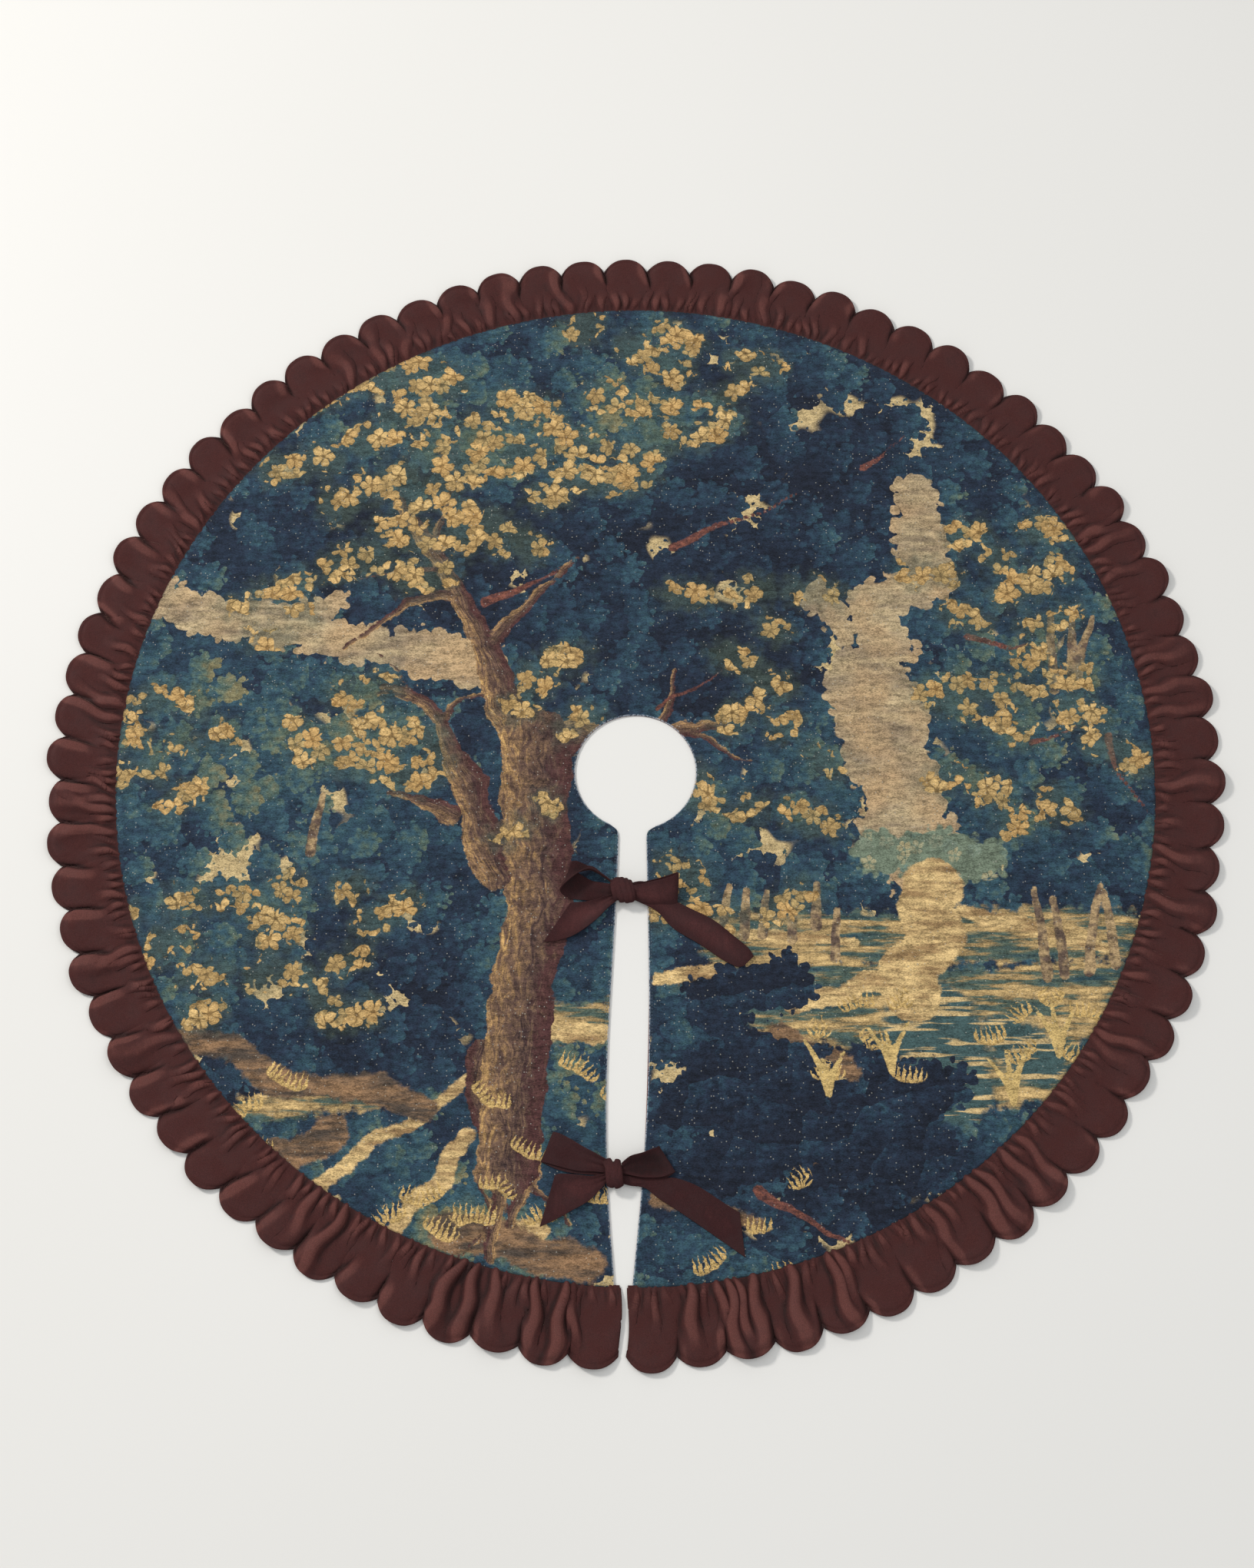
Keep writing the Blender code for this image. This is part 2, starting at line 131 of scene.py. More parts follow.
# How far in from the slit or the neck, and from the hem, each place lies
def edgeInsets(x, y):
    radius = np.hypot(x, y)
    fromSlit = np.minimum(
        np.abs(x - slitX(1, -y, 0)), np.abs(x - slitX(-1, -y, 0))
    )
    fromSlit = np.where(y < -panel["neckRadius"] * 0.8, fromSlit, 1)
    fromNeck = radius - panel["neckRadius"]
    fromHem = panel["hemRadius"] - np.hypot(x, y - panel["hemCentreY"])
    return np.minimum(fromSlit, fromNeck), fromHem


# Meshes

# A flat grid, and the u and v of its points, which setPlaces then moves
def gridMesh(name, columns, rows):
    mesh = bpy.data.meshes.new(name)
    work = bmesh.new()
    bmesh.ops.create_grid(work, x_segments=columns, y_segments=rows, size=1)
    work.to_mesh(mesh)
    work.free()
    flat = np.empty(len(mesh.vertices) * 3, np.float32)
    mesh.vertices.foreach_get("co", flat)
    flat = flat.reshape(-1, 3).astype(float)
    return mesh, (flat[:, 0] + 1) / 2, (flat[:, 1] + 1) / 2


def setPlaces(mesh, x, y, z):
    mesh.vertices.foreach_set("co", np.column_stack((x, y, z)).astype(np.float32).ravel())
    mesh.update()


def places(mesh):
    flat = np.empty(len(mesh.vertices) * 3, np.float32)
    mesh.vertices.foreach_get("co", flat)
    return flat.reshape(-1, 3).astype(float)


def setAttribute(mesh, name, values):
    layer = mesh.attributes.get(name) or mesh.attributes.new(name, "FLOAT", "POINT")
    layer.data.foreach_set("value", np.asarray(values, np.float32))


def addPiece(name, mesh, body, material):
    obj = bpy.data.objects.new(name, mesh)
    scene.collection.objects.link(obj)
    mesh.materials.append(material)
    mesh.shade_smooth()
    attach(obj, body)
    return obj


def applyModifiers(obj):
    graph = bpy.context.evaluated_depsgraph_get()
    mesh = bpy.data.meshes.new_from_object(obj.evaluated_get(graph))
    obj.modifiers.clear()
    obj.data = mesh


# Extrudes the open edge along rings of (outwards, drop, or a height to come down to)
def rollEdge(mesh, rings, keep=None):
    work = bmesh.new()
    work.from_mesh(mesh)
    edges = [e for e in work.edges if e.is_boundary and (keep is None or keep(e))]
    outward, start = {}, {}
    for edge in edges:
        face = edge.link_faces[0]
        along = edge.verts[1].co - edge.verts[0].co
        away = Vector((along.y, -along.x, 0)).normalized()
        middle = (edge.verts[0].co + edge.verts[1].co) / 2
        if away.dot(middle - face.calc_center_median()) < 0:
            away = -away
        for vert in edge.verts:
            outward[vert] = outward.get(vert, Vector()) + away
    for vert in outward:
        outward[vert].normalize()
        start[vert] = vert.co.copy()
    for distance, drop, height in rings:
        made = bmesh.ops.extrude_edge_only(work, edges=edges)["geom"]
        newVerts = [item for item in made if isinstance(item, bmesh.types.BMVert)]
        edges = [
            item for item in made
            if isinstance(item, bmesh.types.BMEdge)
            and item.verts[0] in newVerts and item.verts[1] in newVerts
        ]
        oldOutward, oldStart = outward, start
        outward, start = {}, {}
        for vert in newVerts:
            source = next(
                e.other_vert(vert) for e in vert.link_edges if e.other_vert(vert) in oldStart
            )
            outward[vert], start[vert] = oldOutward[source], oldStart[source]
            vert.co = start[vert] + outward[vert] * distance
            vert.co.z = height if height is not None else start[vert].z - drop
    bmesh.ops.recalc_face_normals(work, faces=work.faces)
    work.to_mesh(mesh)
    work.free()


# Camera, floor and light

camera = {
    "aim": Vector((-0.011, -0.016, 0)),
    "elevation": 70,
    "distance": 3.34,
    "lens": 58.9,
}


def makeCamera():
    data = bpy.data.cameras.new("camera")
    data.lens = camera["lens"]
    data.sensor_width = 36
    data.sensor_fit = "AUTO"
    obj = bpy.data.objects.new("camera", data)
    tilt = math.radians(camera["elevation"])
    back = Vector((0, -math.cos(tilt), math.sin(tilt)))
    obj.location = camera["aim"] + back * camera["distance"]
    obj.rotation_euler = (math.pi / 2 - tilt, 0, 0)
    scene.collection.objects.link(obj)
    scene.camera = obj


lights = {
    "key": {"place": (-3.7, 2.1, 3.6), "size": 1.0, "watts": 172, "colour": (1.0, 0.975, 0.94)},
    "fill": {"place": (1.2, -0.6, 3.6), "size": 3.0, "watts": 26, "colour": (0.94, 0.97, 1.0)},
}


def makeLights():
    for name, light in lights.items():
        data = bpy.data.lights.new(name, "AREA")
        data.shape = "DISK"
        data.size = light["size"]
        data.energy = light["watts"]
        data.color = light["colour"]
        obj = bpy.data.objects.new(name, data)
        obj.location = light["place"]
        obj.rotation_euler = (-Vector(light["place"])).to_track_quat("-Z", "Y").to_euler()
        scene.collection.objects.link(obj)
    world = bpy.data.worlds.new("studio")
    world.use_nodes = True
    background = world.node_tree.nodes["Background"]
    background.inputs["Color"].default_value = (0.93, 0.95, 0.97, 1)
    background.inputs["Strength"].default_value = 0.62
    scene.world = world
    scene.view_settings.view_transform = "Standard"


def makeFloor():
    mesh = bpy.data.meshes.new("floor")
    work = bmesh.new()
    bmesh.ops.create_grid(work, x_segments=2, y_segments=2, size=6)
    work.to_mesh(mesh)
    work.free()
    obj = bpy.data.objects.new("floor", mesh)
    scene.collection.objects.link(obj)
    mesh.materials.append(floorMaterial())


# Material helpers

def newMaterial(name):
    material = bpy.data.materials.new(name)
    material.use_nodes = True
    tree = material.node_tree
    return material, tree, tree.nodes["Principled BSDF"]


# Each input of the node is linked to a socket or set to a value
def setInputs(tree, node, inputs):
    for name, value in inputs.items():
        if isinstance(value, bpy.types.NodeSocket):
            tree.links.new(value, node.inputs[name])
        else:
            node.inputs[name].default_value = value


def addNode(tree, kind, inputs=None, **settings):
    made = tree.nodes.new(kind)
    for name, value in settings.items():
        setattr(made, name, value)
    setInputs(tree, made, inputs or {})
    return made


def calc(tree, operation, a, b=0.0, c=0.0, clamp=False):
    inputs = {0: a, 1: b}
    if operation == "MULTIPLY_ADD":
        inputs[2] = c
    return addNode(
        tree, "ShaderNodeMath", inputs, operation=operation, use_clamp=clamp
    ).outputs[0]


def plus(tree, a, b):
    return calc(tree, "ADD", a, b)


def minus(tree, a, b):
    return calc(tree, "SUBTRACT", a, b)


def times(tree, a, b):
    return calc(tree, "MULTIPLY", a, b)


def timesPlus(tree, a, b, c):
    return calc(tree, "MULTIPLY_ADD", a, b, c)


# Value from low to high, smoothly, becomes toLow to toHigh
def ramp(tree, value, low, high, toLow=0.0, toHigh=1.0):
    inputs = {"Value": value, "From Min": low, "From Max": high, "To Min": toLow, "To Max": toHigh}
    return addNode(
        tree, "ShaderNodeMapRange", inputs, interpolation_type="SMOOTHSTEP"
    ).outputs["Result"]


def colourMix(tree, share, a, b, blend="MIX"):
    inputs = {0: share, 6: a, 7: b}
    return addNode(
        tree, "ShaderNodeMix", inputs, data_type="RGBA", blend_type=blend
    ).outputs[2]


# One colour turns into another as the value goes from low to high
def twoTone(tree, value, low, high, colour, other):
    return colourMix(tree, ramp(tree, value, low, high), paint(*colour), paint(*other))


def noiseOf(tree, vector, scale, detail=3.0, rough=0.55, dimensions="3D", **more):
    inputs = {"Vector": vector, "Scale": scale, "Detail": detail, "Roughness": rough}
    return addNode(
        tree, "ShaderNodeTexNoise", inputs, noise_dimensions=dimensions, **more
    ).outputs["Fac"]


def stretched(tree, vector, x, y, z=1.0, turn=0.0):
    inputs = {"Vector": vector, "Scale": (x, y, z), "Rotation": (0, 0, math.radians(turn))}
    return addNode(tree, "ShaderNodeMapping", inputs).outputs["Vector"]


def attribute(tree, name):
    return addNode(tree, "ShaderNodeAttribute", attribute_name=name).outputs["Fac"]


def objectPlace(tree):
    return addNode(tree, "ShaderNodeTexCoord").outputs["Object"]


def greyOf(tree, value):
    inputs = {"Red": value, "Green": value, "Blue": value}
    return addNode(tree, "ShaderNodeCombineColor", inputs).outputs[0]


def relief(tree, height, strength, distance):
    inputs = {"Height": height, "Strength": strength, "Distance": distance}
    return addNode(tree, "ShaderNodeBump", inputs).outputs["Normal"]


# A colour given in display values from 0 to 255
def paint(red, green, blue):
    values = []
    for part in (red, green, blue):
        part /= 255
        values.append(part / 12.92 if part <= 0.04045 else ((part + 0.055) / 1.055) ** 2.4)
    return (*values, 1)


def floorMaterial():
    material, tree, shader = newMaterial("floor")
    cloud = noiseOf(tree, objectPlace(tree), 0.9, 1.0)
    setInputs(tree, shader, {
        "Base Color": colourMix(tree, cloud, paint(226, 224, 219), paint(232, 230, 226)),
        "Roughness": 0.85, "Specular IOR Level": 0.1,
    })
    return material


# An empty shader group with named inputs, each with its default, and outputs
def newGroup(name, inputs, outputs):
    group = bpy.data.node_groups.new(name, "ShaderNodeTree")
    for socket, kind, default in inputs:
        made = group.interface.new_socket(socket, in_out="INPUT", socket_type=kind)
        if default is not None:
            made.default_value = default
    for socket, kind in outputs:
        group.interface.new_socket(socket, in_out="OUTPUT", socket_type=kind)
    start = group.nodes.new("NodeGroupInput")
    end = group.nodes.new("NodeGroupOutput")
    return group, start, end


def useGroup(tree, group, inputs):
    return addNode(tree, "ShaderNodeGroup", inputs, node_tree=group)


colourSocket, floatSocket, vectorSocket = (
    "NodeSocketColor", "NodeSocketFloat", "NodeSocketVector"
)


# Velvet pile: brushed patches, short fibres and crushed streaks, with painted shade where the ridge
# input is low and painted highlight where it is high
def makePileGroup():
    group, start, end = newGroup(
        "velvetPile",
        [
            ("Vector", vectorSocket, None),
            ("Colour", colourSocket, (0.1, 0.03, 0.03, 1)),
            ("Dark", colourSocket, (0.03, 0.01, 0.01, 1)),
            ("Light", colourSocket, (0.2, 0.09, 0.08, 1)),
            ("RidgeShading", floatSocket, 0.5),
        ],
        [("Colour", colourSocket), ("Roughness", floatSocket), ("Height", floatSocket)],
    )
    vector = start.outputs["Vector"]
    patches = noiseOf(group, vector, 38, 3, 0.6)
    fibres = noiseOf(group, vector, 900, 2, 0.7)
    streaks = noiseOf(group, stretched(group, vector, 1, 0.25, 1, 25), 260, 3, 0.6)
    lift = timesPlus(group, patches, 0.55, -0.28)
    # The ridge input adds painted shade and painted highlight on top of the pile's own patches and
    # streaks
    lift = plus(group, lift, start.outputs["RidgeShading"])
    lift = timesPlus(group, streaks, 0.25, lift)
    lift = plus(group, lift, -0.12)
    colour = colourMix(
        group, ramp(group, lift, -0.05, 0.5), start.outputs["Dark"], start.outputs["Colour"]
    )
    colour = colourMix(
        group, ramp(group, lift, 0.50, 1.05, 0, 0.6), colour, start.outputs["Light"]
    )
    speck = ramp(group, fibres, 0.3, 0.75, 0.75, 1.25)
    colour = colourMix(group, 1.0, colour, greyOf(group, speck), "MULTIPLY")
    setInputs(group, end, {
        "Colour": colour,
        "Roughness": ramp(group, patches, 0.3, 0.7, 0.72, 0.92),
        "Height": timesPlus(group, fibres, 0.6, times(group, streaks, 0.6)),
    })
    return group


# The panel's face and lining

face = {
    "hemPuckerPitch": 0.0135,
    "hemPuckerHeight": 0.0015,
    "hemPuckerReach": 0.018,
    "waveHeight": 0.0024,
    "calmAroundBows": 0.21,
    # Soft creases: the places they run through, half width and height
    "creases": [
        ([(0.655, -0.06), (0.585, -0.135), (0.53, -0.16)], 0.013, 0.0040),
        ([(0.64, -0.16), (0.56, -0.215), (0.50, -0.225)], 0.012, 0.0036),
        ([(0.60, -0.26), (0.525, -0.30)], 0.012, 0.0032),
        ([(0.668, 0.04), (0.60, -0.02)], 0.012, 0.0030),
        ([(0.55, 0.37), (0.47, 0.31), (0.40, 0.285)], 0.014, 0.0030),
        ([(0.45, 0.48), (0.38, 0.40)], 0.013, 0.0028),
        ([(0.28, 0.60), (0.25, 0.50)], 0.014, 0.0024),
        ([(-0.67, 0.02), (-0.60, -0.035), (-0.54, -0.045)], 0.014, 0.0042),
        ([(-0.66, -0.07), (-0.60, -0.10)], 0.012, 0.0032),
        ([(-0.60, 0.27), (-0.53, 0.25)], 0.013, 0.0026),
        ([(-0.48, -0.44), (-0.42, -0.38)], 0.013, 0.0030),
        ([(-0.33, -0.56), (-0.30, -0.49)], 0.013, 0.0030),
        ([(-0.20, -0.62), (-0.19, -0.55)], 0.012, 0.0026),
        ([(0.20, -0.62), (0.19, -0.56), (0.21, -0.50)], 0.013, 0.0030),
        ([(0.38, -0.53), (0.34, -0.45)], 0.013, 0.0030),
        ([(0.09, -0.64), (0.16, -0.57), (0.27, -0.55)], 0.012, 0.0028),
    ],
    "creaseWander": 0.006,
    "creaseShare": 0.62,
    "waveSize": 0.16,
    "edgeSoftness": 0.013,
    "hemSoftness": 0.012,
    "stitchSink": 0.0007,
    "stitchPull": 0.00035,
    "stitchPullPitch": 0.0105,
    "lowest": 0.0026,
}
upperKnot = Vector((-0.0161, -0.165, 0))
lowerKnot = Vector((-0.0268, -0.530, 0))


# Distance from each place to a line through the points
def lineGap(points, x, y):
    best = np.full(len(x), 9.0)
    for (ax, ay), (bx, by) in zip(points, points[1:]):
        dx, dy = bx - ax, by - ay
        t = np.clip(((x - ax) * dx + (y - ay) * dy) / (dx * dx + dy * dy), 0, 1)
        best = np.minimum(best, np.hypot(x - ax - t * dx, y - ay - t * dy))
    return best


# Height of the face over the plan: soft edges, hem puckers, creases and slow waves
def faceHeight(x, y):
    fromEdge, fromHem = edgeInsets(x, y)
    angle = np.arctan2(x, -y)
    fall = panel["fullHeight"] - panel["edgeHeight"]
    z = panel["fullHeight"] - fall * (1 - smooth(fromEdge / face["edgeSoftness"]))
    z -= fall * 0.8 * (1 - smooth(fromHem / face["hemSoftness"]))
    z -= face["stitchSink"] * bump((fromEdge - panel["stitchInset"]) / 0.0022)
    # Puckers across the hem, uneven in pitch, length and height
    along = angle * panel["hemRadius"]
    wander = softNoise(along, fromHem, 0.045, 3.1, 1)
    strength = 0.55 + 0.9 * np.clip(softNoise(along, fromHem * 0, 0.11, 8.7, 1) + 0.25, 0, 1)
    strength *= 1 + 0.8 * bump((angle - 1.5) / 0.9) + 0.5 * bump((angle + 1.5) / 0.8)
    wave = np.sin(2 * math.pi * along / face["hemPuckerPitch"] + 4.0 * wander)
    reach = face["hemPuckerReach"] * (1 + 0.8 * softNoise(along, fromHem * 0, 0.03, 5.5, 1))
    fade = np.exp(-np.maximum(fromHem, 0) / np.maximum(reach, 0.006))
    rise = smooth(fromHem / 0.004)
    z += face["hemPuckerHeight"] * strength * fade * rise * (0.55 + 0.45 * wave)
    # Small pulls along the topstitching
    turns = y / face["stitchPullPitch"] * 2 * math.pi
    pull = np.sin(turns + 3 * softNoise(x, y, 0.03, 2.2, 1)) * face["stitchPull"]
    z += pull * np.exp(-np.maximum(fromEdge, 0) / 0.010) * smooth(fromEdge / 0.003)
    calm = smooth(np.minimum(
        np.hypot(x - upperKnot.x - 0.05, y - upperKnot.y + 0.03),
        np.hypot(x - lowerKnot.x - 0.05, y - lowerKnot.y + 0.03),
    ) / face["calmAroundBows"] * 1.6 - 0.6)
    inside = smooth(fromEdge / 0.05) * smooth(fromHem / 0.03)
    waves = softNoise(x, y, face["waveSize"], 11.0, 2)
    z += face["waveHeight"] * waves * calm * inside
    for points, halfWidth, height in face["creases"]:
        gap = lineGap(points, x, y) + face["creaseWander"] * softNoise(x, y, 0.04, 4.4, 2)
        ridge = bump(gap / (1.9 * halfWidth)) * (0.75 + 0.5 * softNoise(x, y, 0.05, 7.7, 2))
        z += face["creaseShare"] * height * ridge * (0.35 + 0.65 * calm) * smooth(fromHem / 0.010)
    return np.maximum(z, face["lowest"])


def makeFace(material):
    print("face")
    mesh, u, v = gridMesh("face", panel["columns"], panel["rows"])
    x, y = panelPlace(u, v, panel["edgeRoll"])
    setPlaces(mesh, x, y, faceHeight(x, y))
    roll = panel["edgeRoll"]
    rollEdge(mesh, [
        (0.45 * roll, 0.15 * mm, None),
        (0.85 * roll, 0.55 * mm, None),
        (roll, 1.1 * mm, None),
        (0.6 * roll, 0, 0.95 * mm),
        (-7 * mm, 0, 0.92 * mm),
    ])
    place = places(mesh)
    paintPicture(mesh, place[:, 0], place[:, 1])
    obj = addPiece("face", mesh, "skirt", material)
    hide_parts("face_panel", "wadding", "hem_seam_thread")
    return obj


lining = {"columns": 300, "rows": 36, "thickness": 0.0006, "height": 0.0003, "peep": 0.0011}


def makeLining(material):
    print("lining")
    mesh, u, v = gridMesh("lining", lining["columns"], lining["rows"])
    x, y = panelPlace(u, v, 0.0002)
    # It peeps out along the slit's right edge, above the lower bow
    fromRight = np.abs(x - slitX(1, -y, 0))
    along = bump((y + 0.40) / 0.14)
    x = x - lining["peep"] * along * (1 - smooth(fromRight / 0.02)) * (y < -0.1)
    z = lining["height"] + 0.0002 * softNoise(x, y, 0.08, 4.4, 1)
    setPlaces(mesh, x, y, z)
    obj = addPiece("liningCloth", mesh, "skirt", material)
    solid = obj.modifiers.new("thickness", "SOLIDIFY")
    solid.thickness = lining["thickness"]
    solid.offset = -1 if mesh.polygons[0].normal.z < 0 else 1
    applyModifiers(obj)
    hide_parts("lining")


stitch = {"length": 0.0029, "gap": 0.0013, "radius": 0.00027}


# Places along the topstitching: down the slit's left edge, and up the right, by the neck
def stitchLine():
    inset = panel["stitchInset"]
    v = np.linspace(1, 0, 700)
    x, y = panelPlace(v * 0, v * 0.994, inset)
    right = list(zip(x, y))
    u = np.linspace(0, 1, 700)
    x, y = panelPlace(u, u * 0, inset)
    neck = list(zip(x, y))
    x, y = panelPlace(v * 0 + 1, (1 - v) * 0.994, inset)
    return right + neck[1:-1] + list(zip(x, y))


def makeStitches(material):
    print("stitches")
    line = np.array(stitchLine())
    steps = np.hypot(*np.diff(line, axis=0).T)
    length = np.concatenate(([0], np.cumsum(steps)))
    pitch = stitch["length"] + stitch["gap"]
    middle = np.arange(pitch, length[-1] - pitch, pitch)
    x, y = np.interp(middle, length, line[:, 0]), np.interp(middle, length, line[:, 1])
    aheadX = np.interp(middle + 0.001, length, line[:, 0]) - x
    aheadY = np.interp(middle + 0.001, length, line[:, 1]) - y
    z = faceHeight(x, y) + 0.00012
    work = bmesh.new()
    for place in zip(x, y, z, np.arctan2(aheadY, aheadX)):
        size = Matrix.Diagonal((stitch["length"] / 2, stitch["radius"], stitch["radius"], 1))
        matrix = Matrix.Translation(place[:3]) @ Matrix.Rotation(place[3], 4, "Z") @ size
        bmesh.ops.create_uvsphere(work, u_segments=6, v_segments=5, radius=1, matrix=matrix)
    mesh = bpy.data.meshes.new("stitches")
    work.to_mesh(mesh)
    work.free()
    obj = addPiece("stitches", mesh, "skirt", material)
    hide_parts("topstitching")


# The ruffle

ruffle = {
    "strips": 6,
    "scallopsPerStrip": 13,
    "columnsPerScallop": 40,
    "rows": 36,
    "gap": 0.010,
    "outerRadius": 0.765,
    "scallopDepth": 0.0175,
    "lobeRoundness": 2.4,
    "rootHeight": 0.0021,
    "lobeHeight": 0.0056,
    "edgeHeight": 0.0026,
    "facingHeight": 0.0013,
    "foldsPerScallop": 3.8,
    "seamInset": 0.0042,
    "tipLift": 0.006,
    "stitchSink": 0.0009,
    "facingThickness": 0.0007,
    "creaseShoulder": 0.0092,
    "creaseValley": 0.0052,
    "lowest": 0.0019,
    "seed": 7,
}
scallops = ruffle["strips"] * ruffle["scallopsPerStrip"]


def ruffleAngle(k):
    middle = math.atan2(panel["slitHemX"], slitEnd)
    halfGap = ruffle["gap"] / 2 / slitEnd
    return mix(middle + halfGap, middle + 2 * math.pi - halfGap, k / scallops)


# Each fold: where it starts, its lean, half width, height, and how far out it runs
def makeFolds():
    random = np.random.default_rng(ruffle["seed"])
    folds = []
    count = int(scallops * ruffle["foldsPerScallop"])
    for number in range(count):
        k = (number + 0.5 + random.uniform(-0.38, 0.38)) / ruffle["foldsPerScallop"]
        angle = ruffleAngle(k)
        bottom = bump(math.remainder(angle, 2 * math.pi) / 1.0)
        left = bump((angle - 4.7) / 1.5)
        isLong = random.uniform() < 0.10 + 0.42 * bottom
        reach = random.uniform(0.75, 1.4) if isLong else random.uniform(0.20, 0.48)
        height = random.uniform(0.0022, 0.0040) * (1 + 1.5 * bottom * isLong + 0.2 * left)
        lean = random.normal(0, 0.16) - 0.45 * left * random.uniform(0.3, 1)
        width = random.uniform(0.14, 0.22) if isLong else random.uniform(0.07, 0.13)
        folds.append((k, lean, width, height, reach))
    return folds


# Each nick's crease: its lean, how far in it runs, its depth and which side stands over it
def makeCreases():
    random = np.random.default_rng(ruffle["seed"] + 4)
    creases = []
    for number in range(1, scallops):
        angle = ruffleAngle(number)
        left = bump((angle - 4.9) / 1.5)
        right = bump((angle - 1.7) / 1.3)
        top = bump((angle - 3.2) / 0.9)
        strength = 0.6 + 0.7 * left + 0.25 * top - 0.25 * right
        strength *= random.uniform(0.7, 1.2)
        lean = random.normal(0, 0.12) + 0.55 * left * random.uniform(0.5, 1.1)
        length = random.uniform(0.35, 0.6) + 0.3 * left
        side = 1 if random.uniform() < 0.5 + 0.45 * left else -1
        creases.append((number, lean, length, strength, side))
    return creases


# Height of the front layer's folds and lobes; k counts scallops, s runs from hem to edge
def ruffleHeight(k, s):
    folds = np.zeros(len(k))
    for start, lean, width, height, reach in foldList:
        near = np.abs(k - start) < 1.6
        if not near.any():
            continue
        kn, sn = k[near], s[near]
        centre = start + lean * sn + 0.05 * np.sin(9 * sn + start * 5)
        half = width * (0.5 + 1.1 * sn)
        rise = smooth(sn / 0.16 + 0.25) * (1 - smooth((sn - 0.35 * reach) / reach))
        shape = bump((kn - centre) / half)
        folds[near] = np.maximum(folds[near], height * rise * shape) + 0.15 * height * rise * shape
    lobe = np.abs(2 * (k % 1) - 1)
    puff = ruffle["lobeHeight"] * (1 - 0.42 * lobe**3 * smooth((s - 0.35) / 0.5))
    z = mix(ruffle["rootHeight"] + 0.0006, puff, smooth(s / 0.22)) + folds
    for number, lean, length, strength, side in creaseList:
        near = np.abs(k - number) < 1.1
        if not near.any():
            continue
        kn, sn = k[near], s[near]
        across = (kn - number - lean * (1 - sn) - 0.03 * np.sin(7 * sn + number)) * side
        reach = smooth((sn - 1 + length) / (0.6 * length))
        valley = np.exp(-(np.abs(across) / 0.065) ** 1.2)
        crest = np.clip(across, 0, 2)
        shoulder = smooth(crest / 0.10) * np.exp(-((crest / 0.40) ** 1.5))
        stand = ruffle["creaseShoulder"] * shoulder * (1 - 0.4 * sn)
        z[near] += strength * reach * (stand - ruffle["creaseValley"] * valley)
    return np.maximum(z, ruffle["lowest"])


# The scalloped edge, with lobes that differ a little
def edgeRadius(k):
    lobe = np.abs(2 * (k % 1) - 1)
    number = np.floor(np.clip(k, 0, scallops - 1e-6))
    vary = 0.0022 * np.sin(number * 2.4 + 1) + 0.0014 * np.sin(number * 5.1)
    drop = ruffle["scallopDepth"] * lobe ** ruffle["lobeRoundness"]
    radius = ruffle["outerRadius"] + vary * (1 - lobe**4) - drop
    angle = ruffleAngle(k)
    return radius + 0.004 * bump(np.arctan2(np.sin(angle), np.cos(angle)) / 0.9)


def tipLift(k, s):
    lobe = np.abs(2 * (k % 1) - 1)
    number = np.floor(np.clip(k, 0, scallops - 1e-6))
    amount = 0.5 + 0.5 * np.sin(number * 3.7 + 0.6 * np.sin(number * 1.3))
    return ruffle["tipLift"] * amount * (1 - lobe**2) * smooth((s - 0.5) / 0.5)


# Rows lie closer together towards the outer edge
def ruffleShare(v):
    return v + 0.10 * np.sin(math.pi * v)


foldList = makeFolds()
creaseList = makeCreases()


def rufflePlan(k, s, inset, lean=0.0):
    angle = ruffleAngle(k)
    inner = hemDistance(angle, -0.003)
    radius = mix(inner, edgeRadius(k) - inset, s)
    sway = 0.012 * np.sin(k * 0.9 + 2 * s) * s * (1 - s)
    angle = angle + (lean + sway) / radius
    return radius * np.sin(angle), -radius * np.cos(angle)


def stripName(kind, strip):
    perSide = ruffle["strips"] // 2
    if strip < perSide:
        return f"{kind}_right_{strip + 1}"
    return f"{kind}_left_{2 * perSide - strip}"


